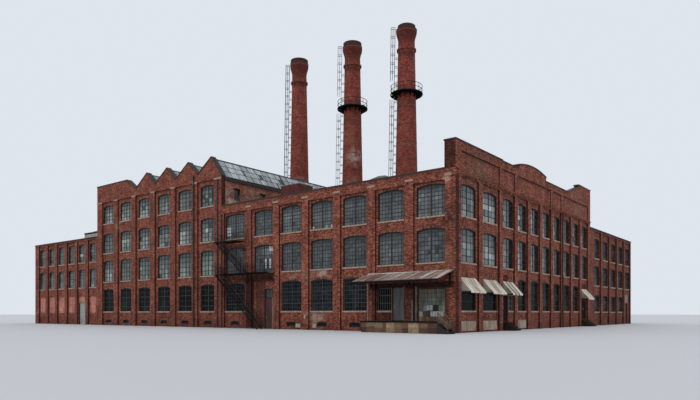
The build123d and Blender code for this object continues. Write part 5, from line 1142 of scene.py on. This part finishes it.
# %% The vent's louvres and cowl
for wall, size in round_walls(*VENT):
    for i in range(9):
        z = ROOF + 8 + i * 20
        houses.board(wall, (6, size - 6), (z, z + 10), -2.5, 4, 0.5, finish=GREEN)
    for u in (0, size - 6):
        houses.board(wall, (u, u + 6), (ROOF, 1530), -3, 4, 0.5, finish=GREEN)
    houses.board(wall, (-3, size + 3), (1526, 1536), -5, 6, 0.5, finish=WHITE)
    # The cowl's four slopes leave a small square at the ridge.
    near, far = size * 0.3, size * 0.7
    corners = [(-6, -6, 1566), (size + 6, -6, 1566), (far, near, 1604), (near, near, 1604)]
    points = [wall.point(*corner) for corner in corners]
    houses.face(points, (points[1] - points[0]).cross(points[2] - points[1]), 4, finish=GREEN)
    for i in range(6):
        share = (i + 0.5) / 6
        low, high = -6 + (size + 12) * share, size * (0.3 + 0.4 * share)
        houses.rod(wall.point(low, -7, 1567), wall.point(high, near - 1, 1605), 4, finish=GREEN)
    houses.board(wall, (-6, size + 6), (1540, 1567), -6, 5, 0.5, finish=GREEN)
print(len(houses.bm.faces), "faces with the vent")

# %% [markdown]
# ## The lantern
# The lantern on the wing is boarded up and whitewashed. Its boards lie between dark posts, under a dark edge,
# and stand a little proud of the body, so that each one casts a thin line of shade on the next.

# %% The wing's lantern
for wall, size in round_walls(*LANTERN):
    for i in range(3):
        u = size * (i / 2)
        houses.board(wall, (max(u - 5, 0), min(u + 5, size)), (1210, 1424), -3, 4, 0.5, finish=DARK)
    for u0 in (6, size / 2 + 5):
        for i in range(8):
            z = 1222 + i * 24
            houses.board(wall, (u0, u0 + size / 2 - 11), (z, z + 21), -1.5, 2, 0.5, finish=WHITE)
    houses.board(wall, (-6, size + 6), (1424, 1440), -7, 9, 0.5, finish=DARK)
houses.done("roof_house_cladding", HOUSE_FINISHES, "sheet_metal")

# %% [markdown]
# ## Stack bands
# Iron bands hold a tall stack together as its brick swells and shrinks. Each is a small oblong profile
# spun once round the axis, just wider than the tapering shaft at its height.

# %% Iron bands round the stacks
BAND_HEIGHTS = [*range(560, 2961, 240), 3220, 3420, 3600]
SHAFT_FOOT, SHAFT_TOP = (420, 182), (3860, 113)


def tapered(z, foot, top):
    """A size at height z that changes evenly between two pairs of height and size."""
    return foot[1] + (top[1] - foot[1]) * (z - foot[0]) / (top[0] - foot[0])


bands = bmesh.new()
for x in STACK_X:
    for z in BAND_HEIGHTS:
        radius = tapered(z, SHAFT_FOOT, SHAFT_TOP)
        inner, outer = radius - 1, radius + 1.6
        corners = ((inner, z - 3), (outer, z - 3), (outer, z + 3), (inner, z + 3))
        profile = [bands.verts.new((x + r * MM, STACK_Y, h * MM)) for r, h in corners]
        edges = [bands.edges.new((profile[i], profile[(i + 1) % 4])) for i in range(4)]
        bmesh.ops.spin(bands, geom=profile + edges, cent=(x, STACK_Y, 0), axis=UP, dvec=(0, 0, 0),
                       angle=2 * math.pi, steps=40, use_merge=True)
bmesh.ops.recalc_face_normals(bands, faces=bands.faces)
hand_over("stack_bands", bands, [iron_paint])

# %% [markdown]
# ## Crowns
# A stack's crown is a bell of corbelled courses under a cap that throws the rain clear. No two of these
# three are quite alike, but the model gives them one height. So this piece stands for the model's stacks: it
# is the same mesh with the levels of each crown moved to their measure, and the caps of the middle and west
# stack a little wider.

# %% Crowns of the stacks
CROWN_LEVELS = (3500, 3742, 3860, 4010, 4042, 4070, 4150)
# The place in that row of levels where the cap starts.
CAP_FOOT = 5
# For the east, middle and west stack: how far each level moves down, and how much wider the cap is.
CROWN_DROPS = (
    (0, 4, 2, -3, 16, 37, 67), (0, -16, -14, -11, -6, 4, 44), (0, -20, -24, -35, -36, -31, 17),
)
CAP_SPREADS = (1.0, 1.1, 1.12)
OUTSIDE_FLUE = 100


def crown_height(z, drops):
    """A height on the modelled crown, moved to its place on one stack's own crown."""
    for i in range(len(CROWN_LEVELS) - 1):
        z0, z1 = CROWN_LEVELS[i], CROWN_LEVELS[i + 1]
        if z0 <= z <= z1 + 1:
            return z - drops[i] - (drops[i + 1] - drops[i]) * (z - z0) / (z1 - z0)
    return z


shafts = bmesh.new()
shafts.from_mesh(nodes["stacks"].data)
bmesh.ops.remove_doubles(shafts, verts=shafts.verts, dist=1e-6)
for vert in shafts.verts:
    nearest = min(range(3), key=lambda i: abs(vert.co.x - STACK_X[i]))
    out = vert.co.xy - Vector((STACK_X[nearest], STACK_Y))
    if vert.co.z / MM > CROWN_LEVELS[CAP_FOOT] - 1 and out.length / MM > OUTSIDE_FLUE:
        vert.co.xy += out * (CAP_SPREADS[nearest] - 1)
    vert.co.z = crown_height(vert.co.z / MM, CROWN_DROPS[nearest]) * MM
shafts.normal_update()
for face in shafts.faces:
    face.smooth = True
for edge in shafts.edges:
    edge.smooth = len(edge.link_faces) == 2 and edge.calc_face_angle() < math.radians(24)
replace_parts(hand_over("stack_shafts", shafts, [brick_stack]), "stacks")
print("crowns end at", [round(crown_height(CROWN_LEVELS[-1], drops)) for drops in CROWN_DROPS], "mm")

# %% [markdown]
# ## Cage straps
# A cage that keeps a climber from falling back is hoops tied by upright straps. The hoops are in the model.
# The straps lean with the taper, so each is one straight rod between two points beside the leaning ladder.

# %% Straps of the ladder cages
LADDER_TURN = math.radians(38.3)
LADDER_FOOT, LADDER_HEAD = (720, 210), (4060, 154)
# Each strap of a cage: how far out from the rails, and how far to the side.
STRAPS = ((55, -28), (55, 0), (55, 28), (28, -28), (28, 28))
# From and to which height each stack's cage runs: the first two break at their galleries.
CAGE_RUNS = (((830, 3080), (3340, 4045)), ((830, 3080), (3340, 4045)), ((830, 4045),))
straps = Workbench()


def beside_ladder(x, z, outward, sideways):
    """A point beside a stack's leaning ladder, outward from its rails and sideways along its rungs."""
    reach = tapered(z, LADDER_FOOT, LADDER_HEAD) + outward
    turn_x = -reach * math.cos(LADDER_TURN) - sideways * math.sin(LADDER_TURN)
    turn_y = -reach * math.sin(LADDER_TURN) + sideways * math.cos(LADDER_TURN)
    return Vector((x + turn_x * MM, STACK_Y + turn_y * MM, z * MM))


for x, runs in zip(STACK_X, CAGE_RUNS):
    for low, high in runs:
        for strap in STRAPS:
            straps.rod(beside_ladder(x, low, *strap), beside_ladder(x, high, *strap), 3)
straps.done("ladder_cage_straps", [galvanised], "iron")

# %% [markdown]
# ## Loading dock
# The dock was patched for decades, so its face is a row of blocks of different stone and concrete. Each
# block is two thin slabs on the solid dock, parted at its own height, and the lower one is damp and darker.

# %% Dock face
DOCK_FACE = -234
BLOCK_FOOT, BLOCK_TOP = 3, 90
BLOCK_EDGES = (811, 757, 662, 581, 540, 459, 378, 317, 215, 130, 39)
BLOCK_TONES = (0.34, 0.55, 0.6, 0.38, 0.78, 0.56, 0.4, 0.8, 0.45, 0.24)
dock = Workbench()
for left, right, tone in zip(BLOCK_EDGES, BLOCK_EDGES[1:], BLOCK_TONES):
    sides = (right + 0.8, left - 0.8)
    cut = BLOCK_FOOT + (BLOCK_TOP - BLOCK_FOOT) * rng.uniform(0.4, 0.6)
    dock.board(FRONT, sides, (BLOCK_FOOT, cut - 0.6), DOCK_FACE, 3, tone - rng.uniform(0.05, 0.25))
    dock.board(FRONT, sides, (cut + 0.6, BLOCK_TOP), DOCK_FACE, 3, tone)
for i in range(6):
    z = 3 + i * 14.5
    dock.board(SIDE, (-228, -140), (z, z + 13.5), 37.5, 2.5, 0.25)
dock.done("dock_face_blocks", [dock_blocks], "stone")

# %% [markdown]
# ## Dock deck and screen
# The dock's deck is planks with a dark edge beam. Its bay is closed by a makeshift screen of old sashes and
# boards, each from another place, which a table of patches tells piece by piece.

# %% Dock deck and screen
DECK = 101
BAY_LEFT, BAY_WIDTH = 382, 272
# Each row of panes in the screen: foot, head, lowest and highest tone.
PANE_STRIPS = (
    (343, 377, 0.62, 0.68), (306, 340, 0.62, 0.72), (270, 303, 0.64, 0.76), (240, 268, 0.62, 0.74),
)
# Each patch of board in the screen: left, right, foot, head, tone.
PATCHES = (
    (382, 335, 186, 238, 0.66), (333, 300, 186, 238, 0.8), (298, 238, 192, 238, 0.9),
    (236, 180, 186, 238, 0.02), (178, 112, 186, 238, 0.78), (382, 340, 140, 184, 0.9),
    (338, 300, 140, 184, 0.35), (298, 262, 140, 184, 0.3), (260, 112, 140, 184, 0.94),
)
# Posts of the bay and of the door, and the boards between them: sides, head, setback, thickness, tone.
POSTS = (
    ((106, 114), 380, 30, 5, 0.1), ((378, 386), 380, 30, 5, 0.1), ((392, 401), 400, 15, 4, 0.8),
    ((408, 524), 420, 16.5, 2, 0.26), ((520, 527), 404, 15, 4, 0.6), ((649, 655), 404, 15, 4, 0.6),
)
deck = Workbench()
for i in range(20):
    u = 32 + i * 39.3
    deck.plank(FRONT, (u, u + 38), (0, -238), DECK + 0.2, 2, 0.2 + rng.uniform(-0.05, 0.1))
deck.board(FRONT, (31, 819), (88, DECK), -240, 3, 0.08)
deck.board(FRONT, (812, 819), (10, 88), -236, 4, 0.1)
for column in range(6):
    u0, u1 = (BAY_LEFT - BAY_WIDTH * i / 6 for i in (column, column + 1))
    for z0, z1, low, high in PANE_STRIPS:
        deck.board(FRONT, (u1 + 2, u0 - 2), (z0, z1), 33, 1.5, rng.uniform(low, high))
for left, right, z0, z1, tone in PATCHES:
    deck.board(FRONT, (right, left), (z0, z1), 32.5, 2, tone)
for i in range(8):
    left = 380 - i * 34
    deck.board(FRONT, (left - 32, left), (DECK, 138), 31.5, 3, rng.uniform(0.36, 0.56))
for u, head, d, depth, tone in POSTS:
    deck.board(FRONT, u, (DECK, head), d, depth, tone)
deck.done("dock_deck_and_screen", [boards], "timber")

# %% [markdown]
# ## Canopy
# The canopy over the dock is sheet iron on a light frame. Sheets lap down the slope and were replaced one
# by one: rust-brown to the left, bleached grey to the right, with a bright strip of flashing at the wall.
# This piece takes the place of the model's plain slab.

# %% Canopy sheets
CANOPY_LEFT, CANOPY_RIGHT = 12, 900
SHEET_COUNT, SHEET_PITCH = 12, 74
canopy = Workbench()
low_edge, high_edge = FRONT.point(0, -260, 452), FRONT.point(0, 0, 530)
canopy_up = (high_edge - low_edge).normalized()
canopy_out = Vector(WEST).cross(canopy_up)
CANOPY = Wall(low_edge, WEST, canopy_out if canopy_out.z > 0 else -canopy_out, canopy_up)
CANOPY_RUN = (high_edge - low_edge).length / MM
for i in range(SHEET_COUNT):
    left = CANOPY_LEFT + SHEET_PITCH * i
    sides = (left, left + (SHEET_PITCH if i == SHEET_COUNT - 1 else SHEET_PITCH + 1.5))
    lift = 0.6 * (i % 2)
    share = i / (SHEET_COUNT - 1)
    tone = 0.88 - 0.6 * share if share < 0.3 else 0.66 - 0.12 * share
    tone += rng.choice((-0.2, -0.05, 0.07, 0.18))
    canopy.board(CANOPY, sides, (2, 140), 1.6 + lift, 1.6, tone)
    canopy.board(CANOPY, sides, (134, CANOPY_RUN), 0.2 + lift, 1.6, tone + rng.uniform(-0.08, 0.1))
    canopy.board(CANOPY, (left, left + 4), (3, CANOPY_RUN), -2.5, 4, tone - 0.3)
# The flashing at the wall, the purlins below and the dark front edge.
canopy.board(CANOPY, (CANOPY_LEFT, CANOPY_RIGHT), (CANOPY_RUN - 10, CANOPY_RUN), -3.5, 3, 0.9)
canopy.board(CANOPY, (420, CANOPY_RIGHT), (CANOPY_RUN - 30, CANOPY_RUN - 9), -4.2, 3, 1.0)
for z in (3, 66, 130, 196, 258):
    canopy.board(CANOPY, (CANOPY_LEFT + 2, CANOPY_RIGHT - 2), (z, z + 7), 3.8, 4.2, 0.02)
canopy.board(FRONT, (CANOPY_LEFT, CANOPY_RIGHT), (443, 452), -256.5, 2, 0.0)
canopy_sheets = canopy.done("canopy_sheets", [rust_sheet], "sheet_metal")
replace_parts(canopy_sheets, "dock_canopy")

# %% [markdown]
# ## Canvas
# Awnings are sewn from cotton duck, a plain weave that rain soils in slanted runs. A wave pattern gives the
# weave its relief and a stretched, turned noise the runs. Each face's tone tells clean cloth from a patch,
# and gives the cheeks their painted shade.

# %% Canvas finish
def canvas_finish():
    """Cream duck canvas: a plain weave, dirt in diagonal runs, darker bands where it was patched, and a
    darker tone for the painted shade of the cheeks.
    """
    finish, tree, shader = start_finish("cream_duck_canvas")
    where = add(tree, "TexCoord", output="Object")
    # Real threads lie under 1 mm apart, too fine to show here, so the weave is drawn ten times as coarse.
    weave = add(tree, "TexWave", {"Vector": where, "Scale": 260.0, "Distortion": 0.4},
                output="Fac", bands_direction="Y")
    slanted = add(tree, "Mapping", {"Vector": where, "Rotation": (0.0, 0.6, 0.5), "Scale": (9, 46, 9)})
    runs = add(tree, "TexNoise", {"Vector": slanted, "Scale": 1.0, "Detail": 6.0})
    soil = add(tree, "MapRange", {0: runs, 1: 0.46, 2: 0.66, 3: 0.0, 4: 0.8})
    tone = add(tree, "Attribute", output="Fac", attribute_name="tone")
    cloth = add(tree, "ValToRGB", {0: tone}, stops=[
        (0.0, "#4d4b44"), (0.3, "#7d7a70"), (0.6, "#b2a896"), (0.8, "#cfc6b4"), (1.0, "#e8e1d3")])
    cloth = add(tree, "Mix", {0: soil, 6: cloth, 7: linear("#5b5249")}, output=2, data_type="RGBA")
    tree.links.new(cloth, shader.inputs["Base Color"])
    shader.inputs["Roughness"].default_value = 0.95
    shader.inputs["Sheen Weight"].default_value = 0.1
    bump = add(tree, "Bump", {"Height": weave, "Strength": 0.2, "Distance": 0.0004})
    tree.links.new(bump, shader.inputs["Normal"])
    return finish


canvas = canvas_finish()
print(canvas.name)

# %% [markdown]
# ## Awnings
# Four canvas awnings shade the side street's doors and shop windows. Each is one piece of cloth: a sloping
# top stretched over three rafters, two cheeks folded down at its ends, and a short valance at the front.
# A grid from bmesh is bent into that shape, so the cloth stays one continuous sheet, sagging a little
# between its rafters.

# %% Bend a grid into an awning
AWNING_TOP, AWNING_LOW = 476, 354
AWNING_WALL, AWNING_REACH = 17, -88
# The valance is 14 mm deep and takes the last rows of the grid; a cheek takes this share of half its columns.
VALANCE, VALANCE_SHARE = 14, 0.12
CHEEK_SHARE = 0.18
SAG = 4.0


def bend_cloth(bm, left, width, run, drop):
    """Bends a flat grid: s runs from cheek to cheek and t from the wall to the end of the valance."""
    for vert in bm.verts:
        s, t = vert.co.x, (1 - vert.co.y) / 2 * (1 + VALANCE_SHARE)
        top_share = min(max((s / (1 - CHEEK_SHARE) + 1) / 2, 0), 1)
        fold = max((abs(s) - (1 - CHEEK_SHARE)) / CHEEK_SHARE, 0)
        slope = min(t, 1.0)
        u = left + width * top_share
        d = AWNING_WALL - run * slope
        z = AWNING_TOP - drop * slope
        if t > 1:
            hung = (t - 1) / VALANCE_SHARE
            z -= VALANCE * hung
            d += 1.2 * math.sin(top_share * math.pi * 7) * hung
        else:
            sag = abs(math.sin(top_share * math.pi * 2)) ** 0.8 * math.sin(slope * math.pi) * (1 - fold)
            z -= SAG * sag
            z -= fold * (z - AWNING_LOW)
        vert.co = SIDE.point(u, d, z)
    bmesh.ops.remove_doubles(bm, verts=bm.verts, dist=0.0004)
    bmesh.ops.recalc_face_normals(bm, faces=bm.faces)


print("the cloth sags", SAG, "mm, and its valance is", VALANCE, "mm deep")

# %% [markdown]
# ## The four cloths
# All four are cut to one pattern in two widths, but the years have told them apart: the third shows two dark
# strips, the second a soiled middle. Each is handed over as stretched cloth on the wall that carries it, and
# the four together stand for the model's plain awnings.

# %% Tone and hand over the cloths
AWNINGS = {"awning_first": (112, 402), "awning_second": (546, 836), "awning_third": (975, 1211),
           "awning_far": (3327, 3563)}


def tone_cloth(bm, name, left, width):
    """Gives every face its tone, by its place on the cloth and by which awning it is."""
    tone = bm.faces.layers.float.new("tone")
    for face in bm.faces:
        middle = face.calc_center_median()
        share = ((middle.y - SIDE.origin.y) / MM - left) / width
        z = middle.z / MM
        on_cheek = abs(face.normal.y) > 0.8
        # Painted shade: the cheeks hang in shade, so their cloth takes a darker tone.
        value = 0.42 if on_cheek else 0.78 + 0.08 * math.sin(share * 9)
        # Clean hems, two dark strips on the third cloth and a soiled middle on the second.
        if not on_cheek and (share < 0.03 or share > 0.97 or z < AWNING_LOW + 1):
            value = 0.95
        if name == "awning_third" and (0.22 < share < 0.38 or 0.54 < share < 0.7):
            value = 0.12
        if name == "awning_second" and 0.35 < share < 0.6 and not on_cheek:
            value -= 0.22
        face[tone] = value
        face.smooth = True


def awning_cloth(name, left, right):
    """One awning's cloth, from a flat grid to a finished sheet."""
    bm = bmesh.new()
    bmesh.ops.create_grid(bm, x_segments=46, y_segments=26, size=1.0)
    width = right - left
    run = AWNING_WALL - AWNING_REACH
    drop = AWNING_TOP - AWNING_LOW
    bend_cloth(bm, left, width, run, drop)
    tone_cloth(bm, name, left, width)
    area = sum(face.calc_area() for face in bm.faces)
    cloth = hand_over(name, bm, [canvas])
    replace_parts(cloth, "awnings")
    thick = cloth.modifiers.new("cloth_thickness", "SOLIDIFY")
    thick.thickness = 0.0008
    thick.offset = -1


for name, (left, right) in AWNINGS.items():
    awning_cloth(name, left, right)

# %% [markdown]
# ## Awning frames
# A blacksmith's frame carries each cloth: three rafters under the slope, three level stays below them, and a
# front bar that ties them. Square rods do here, since the cloth hides all but their ends.

# %% Awning frames
frames = Workbench()
for left, right in AWNINGS.values():
    for u in (left + 3, (left + right) / 2, right - 3):
        for high, low in ((AWNING_TOP - 5, AWNING_LOW - 1), (AWNING_LOW - 2, AWNING_LOW - 2)):
            start = SIDE.point(u, AWNING_WALL - 1, high)
            frames.rod(start, SIDE.point(u, AWNING_REACH + 3, low), 3)
    ends = [SIDE.point(u, AWNING_REACH + 4, AWNING_LOW - 2) for u in (left + 2, right - 2)]
    frames.rod(*ends, 3)
frames.done("awning_frames", [iron_paint], "iron")

# %% [markdown]
# ## Doors
# The five hinged leaves keep their model shape and gain what a hand would touch: ribs, panels, planks and
# a pull. Every piece rides on its own door and stays a few millimetres inside its edges, so it swings
# clear of the jamb.

# %% Door details
def leaf_details(name, wall, u, z, hinge_low, material, style):
    """What lies on the face of one door leaf; hinge_low tells that it hangs at its lower u."""
    bench = Workbench()
    left, right = (u[0] + 12, u[1] - 6) if hinge_low else (u[0] + 6, u[1] - 12)
    face, proud = 25.2, 2.0
    if style == "ribs":
        for i in range(9):
            height = z[0] + 12 + (z[1] - z[0] - 28) * i / 8
            bench.board(wall, (left, right), (height, height + 4), face, proud)
    elif style == "panels":
        for z0, z1 in ((0.04, 0.3), (0.34, 0.6), (0.64, 0.95)):
            low, high = z[0] + (z[1] - z[0]) * z0, z[0] + (z[1] - z[0]) * z1
            middle = (left + right) / 2
            for u0, u1 in ((left, middle - 4), (middle + 4, right)):
                for edge in ((u0, u0 + 3), (u1 - 3, u1)):
                    bench.board(wall, edge, (low, high), face, proud)
                for edge in ((low, low + 3), (high - 3, high)):
                    bench.board(wall, (u0, u1), edge, face, proud)
    else:
        count = round((right - left) / 12)
        for i in range(count):
            start = left + (right - left) * i / count
            plank = (start + 0.7, start + (right - left) / count - 0.7)
            bench.board(wall, plank, (z[0] + 4, z[1] - 4), face, proud)
    pull = right - 8 if hinge_low else left + 8
    height = z[0] + 105
    bench.board(wall, (pull - 2, pull + 2), (height, height + 26), 23.6, 3.2, finish=1)
    bench.done(name, [material, pale_trim], "timber", body=name.replace("_details", ""))


leaf_details("dock_door_details", FRONT, (528.3, 643), (105, 397), True, dock_door_paint, "ribs")
leaf_details("escape_door_details", FRONT, (2184.3, 2297), (5, 330), True, escape_door_paint, "panels")
leaf_details("side_door_details", SIDE, (987, 1093.7), (105, 333), False, black_door_paint, "panels")
leaf_details("pair_door_near_details", SIDE, (3345.3, 3440), (105, 317), True, black_door_paint, "planks")
leaf_details("pair_door_far_details", SIDE, (3450, 3544.7), (105, 317), False, black_door_paint, "planks")

# %% [markdown]
# ## Door frames and closed doorways
# Timber frames line three doorways on the face of the wall, clear of the leaves that swing in. The far
# doorway of the rear wing and one bay of the west wing are shut with boards nailed edge to edge.

# %% Door frames and closed doorways
surrounds = Workbench()
# Each frame: its wall, the doorway's sides, its foot and head, and the paint's tone.
FRAMES = (
    (FRONT, (2184, 2302), (5, 425), 0.25), (SIDE, (982, 1211), (100, 338), 0.85),
    (SIDE, (3345, 3545), (100, 322), 0.3),
)
for wall, u, (low, high), tone in FRAMES:
    surrounds.board(wall, (u[0] - 5, u[0] - 0.5), (low, high + 5), 16.5, 3, tone)
    surrounds.board(wall, (u[1] + 0.5, u[1] + 5), (low, high + 5), 16.5, 3, tone)
    surrounds.board(wall, (u[0] - 5, u[1] + 5), (high + 0.5, high + 5), 16.3, 3, tone)
# The post between the side door and its sidelight, and a pale strip by the escape door.
surrounds.board(SIDE, (1096, 1108), (100, 338), 24, 8, 0.85)
surrounds.board(FRONT, (2178, 2183), (5, 330), 15.8, 2, 0.85)
# The rear wing's closed doorway with the board over it, then the west wing's boarded bay.
for i in range(14):
    z = 4 + i * 22
    surrounds.board(SIDE, (5476, 5634), (z, z + 20), 32.5, 2, 0.22)
surrounds.board(SIDE, (5470, 5640), (330, 445), 16.2, 3, 0.75)
for i in range(12):
    u = 6062 + i * 15.2
    surrounds.board(FRONT, (u, u + 14), (3, 315), 32.5, 2, rng.uniform(0.84, 0.98))
surrounds.done("door_frames_and_boards", [boards], "timber")

# %% [markdown]
# ## Rain goods
# Brackets hold the pipes every two metres. A pipe in the first valley of the sawtooth roof runs down the
# whole front as a dark line: a small circle, extruded to its full height, since a pipe seen from the street
# needs no more than eight sides. Two thin pale pipes stand against the corner block.

# %% Pipes and brackets
BRACKET_PITCH = 200
TRIM_FINISHES = [iron_paint, pale_trim, red_house, limestone, boards]
IRON, PALE, PAINTED, STONE, TIMBER = range(5)
trim = Workbench()


def upright_pipe(bench, wall, u, z, radius, gap, tone, finish):
    """An eight-sided pipe on a wall, made by extruding a small circle."""
    bm = bench.bm
    foot = wall.point(u, -gap, z[0])
    ring = bmesh.ops.create_circle(bm, cap_ends=True, radius=radius * MM, segments=8)["verts"]
    bmesh.ops.translate(bm, verts=ring, vec=foot)
    made = bmesh.ops.extrude_face_region(bm, geom=[ring[0].link_faces[0]])["geom"]
    moved = [v for v in made if isinstance(v, bmesh.types.BMVert)]
    bmesh.ops.translate(bm, verts=moved, vec=UP * (z[1] - z[0]) * MM)
    faces = {f for v in ring + moved for f in v.link_faces}
    for face in faces:
        face[bench.tone] = tone
        face.material_index = finish
    bmesh.ops.recalc_face_normals(bm, faces=list(faces))


# The valley pipe and the two thin ones, then the brackets of all wide pipes, and the valley's rain head.
upright_pipe(trim, FRONT, 3492, (2, 1800), 8, 10, 0.1, IRON)
upright_pipe(trim, FRONT, 906, (100, 430), 4, 5, 0.9, PALE)
upright_pipe(trim, FRONT, 423, (101, 280), 4, 5, 0.9, PALE)
for wall, u, top, radius in ((FRONT, 2983, 1300, 7), (FRONT, 3055, 1700, 7), (SIDE, 2605, 1340, 7),
                             (FRONT, 3492, 1790, 9)):
    clasp = (u - radius - 4, u + radius + 4)
    for z in range(80, top, BRACKET_PITCH):
        trim.board(wall, clasp, (z, z + 6), -radius * 2 - 2, radius * 2 + 1, 0.1, finish=IRON)
trim.board(FRONT, (3484, 3500), (1770, 1800), -20, 20, 0.1, finish=IRON)
print(len(trim.bm.faces), "faces of pipes and brackets")

# %% [markdown]
# ## Small trim at the foot of the walls
# A few boards by the cellar windows, the rails of the dock's steps and stone edges round three plates catch
# the light near a viewer's eye, so they are worth their few faces. They are short boards and square rods,
# and they join the pipes in one piece.

# %% Foot boards, step rails and plate edges
# Pale boards by the cellar windows.
for u in ((1775, 1838), (1562, 1606)):
    trim.board(FRONT, u, (22, 62), 8, 9, 0.95, finish=PALE)
trim.board(FRONT, (1690, 1712), (112, 152), -4, 5, 0.9, finish=PALE)
# Rails and posts on both sides of the dock's steps.
for d in (-236, -134):
    trim.rod(FRONT.point(36, d, 175), FRONT.point(-58, d, 72), 6, 0.44, TIMBER)
    trim.rod(FRONT.point(34, d, 140), FRONT.point(-60, d, 38), 6, 0.44, TIMBER)
    for u, z0, z1 in ((34, 80, 178), (-56, 0, 76)):
        trim.rod(FRONT.point(u, d, z0), FRONT.point(u, d, z1), 6, 0.3, PAINTED)
# Stone edges round the three plain plates at the foot of the side wall.
low, high = 15, 100
for left, right in ((112, 402), (546, 836), (1311, 1547)):
    for edge in (low, high - 4):
        trim.board(SIDE, (left + 2, right - 2), (edge, edge + 4), 12.8, 2, 0.7, finish=STONE)
    for share in (0.0, 0.5, 1.0):
        centre = left + 4 + (right - left - 8) * share
        trim.board(SIDE, (centre - 2, centre + 2), (low + 4, high - 4), 12.8, 2, 0.7, finish=STONE)
# A small dark fitting over the side door.
trim.board(SIDE, (1160, 1185), (500, 520), 14, 5, 0.1, finish=IRON)
trim.done("rain_goods_and_trim", TRIM_FINISHES, "iron")

# %% [markdown]
# ## Fire escape
# A fire escape's landings are open bars, so that no snow lies on them, and its sides are closed by thin
# balusters and a middle rail. Landings, flights and handrails are in the model. The slats and balusters are
# evenly spaced flat strips, too many and too small for the solids.

# %% Fire escape gratings
LOW_LANDING, HIGH_LANDING = 595, 955
FLIGHT_HEAD, UPPER_FOOT, LOWER_FOOT = 2880, 2440, 2205
OUTER_STRING, INNER_STRING = -178, -107
SLAT_PITCH, BALUSTER_PITCH = 18, 30
gratings = Workbench()
for (start, end), z in (((2140, 2950), LOW_LANDING), ((2582, 2950), HIGH_LANDING)):
    for i in range(int((end - start) / SLAT_PITCH)):
        u = start + SLAT_PITCH * i
        gratings.plank(FRONT, (u, u + 4), (OUTER_STRING, -2), z + 1, 1.5)
# The stairs' sides: both flights fall to the east.
for foot, top, base in ((UPPER_FOOT, HIGH_LANDING, LOW_LANDING), (LOWER_FOOT, LOW_LANDING, 4)):
    head = FLIGHT_HEAD
    count = round((head - foot) / BALUSTER_PITCH)
    for d in (OUTER_STRING, INNER_STRING):
        for i in range(1, count):
            share = i / count
            u, z = foot + (head - foot) * share, base + (top - base) * share
            gratings.board(FRONT, (u - 1.2, u + 1.2), (z + 2, z + 92), d - 1, 2.4)
        for rise in (24, 70):
            gratings.rod(FRONT.point(head, d, top + rise), FRONT.point(foot, d, base + rise), 2.4)
for start, end, z in ((2140, 2205, LOW_LANDING), (2440, 2950, LOW_LANDING), (2582, 2870, HIGH_LANDING)):
    for i in range(round((end - start) / BALUSTER_PITCH)):
        u = start + BALUSTER_PITCH * i
        gratings.board(FRONT, (u - 1.2, u + 1.2), (z + 2, z + 92), -103, 2.4)
gratings.done("escape_gratings", [black_iron], "iron")

# %% [markdown]
# ## Camera
# The camera stands at the eye height of someone on the far side of the crossing. Its horizon is level and its
# lens is shifted up, so upright lines stay upright. Its place, turn and focal length come from the vanishing
# points of the two street fronts.

# %% Camera
camera_data = bpy.data.cameras.new("street_camera")
camera = bpy.data.objects.new("street_camera", camera_data)
bpy.context.collection.objects.link(camera)
forward = Vector((-0.6198, 0.7848, 0)).normalized()
right = forward.cross(UP)
stand = Matrix((right, UP, -forward)).transposed().to_4x4()
stand.translation = Vector((6.163, -7.232, 0.170))
camera.matrix_world = stand
camera_data.lens = 30.86
camera_data.sensor_width = 36
camera_data.shift_y = 0.1614
camera_data.clip_end = 200
bpy.context.scene.camera = camera
print("camera stands", round((camera.location - FRONT.origin).length, 2), "m from the near corner")

# %% [markdown]
# ## Sky
# The photo was taken under cloud, so an even dome of sky lights the walls. The haze that the camera and the
# panes see is a little duller and bluer than that dome, which a switch on the kind of ray makes possible. A
# sky picture would do too, but it would bring its own buildings and sun into the panes.

# %% Overcast sky
world = bpy.data.worlds.new("overcast")
bpy.context.scene.world = world
world.use_nodes = True
sky = world.node_tree
background = sky.nodes["Background"]
background.inputs["Color"].default_value = linear("#f2f5fa")
background.inputs["Strength"].default_value = 0.9
seen = add(sky, "Background", {"Color": linear("#dfe5ed"), "Strength": 1.0})
path = add(sky, "LightPath").node.outputs
either = add(sky, "Math", {0: path["Is Camera Ray"], 1: path["Is Glossy Ray"]}, operation="MAXIMUM")
either = add(sky, "Math", {0: either, 1: path["Is Transmission Ray"]}, operation="MAXIMUM")
choose = add(sky, "MixShader", {0: either, 1: background.outputs[0], 2: seen})
sky.links.new(choose, sky.nodes["World Output"].inputs["Surface"])
print("dome", background.inputs["Strength"].default_value)

# %% [markdown]
# ## Sun and floor
# A dome alone would leave the walls flat. A weak sun, so wide that it draws no hard shadow, shapes the piers
# and reveals. A plain grey floor catches the shade at the building's foot. It is stage, not part of the
# building.

# %% Soft sun and studio floor
sun_data = bpy.data.lights.new("soft_sun", "SUN")
sun_data.energy = 0.7
sun_data.angle = math.radians(40)
sun = bpy.data.objects.new("soft_sun", sun_data)
sun.rotation_euler = (math.radians(42), 0, math.radians(10))
bpy.context.collection.objects.link(sun)

floor_bm = bmesh.new()
bmesh.ops.create_grid(floor_bm, x_segments=2, y_segments=2, size=60)
floor_mesh = bpy.data.meshes.new("studio_floor")
floor_bm.to_mesh(floor_mesh)
floor_bm.free()
floor = bpy.data.objects.new("studio_floor", floor_mesh)
bpy.context.collection.objects.link(floor)
floor_finish, _, floor_shader = start_finish("pale_studio_floor")
floor_shader.inputs["Base Color"].default_value = linear("#c4c6c9")
floor_shader.inputs["Roughness"].default_value = 0.9
floor_mesh.materials.append(floor_finish)
bpy.context.scene.view_settings.view_transform = "Standard"
print("sun", sun_data.energy, "over a floor of", [round(v, 1) for v in floor.dimensions], "metres")
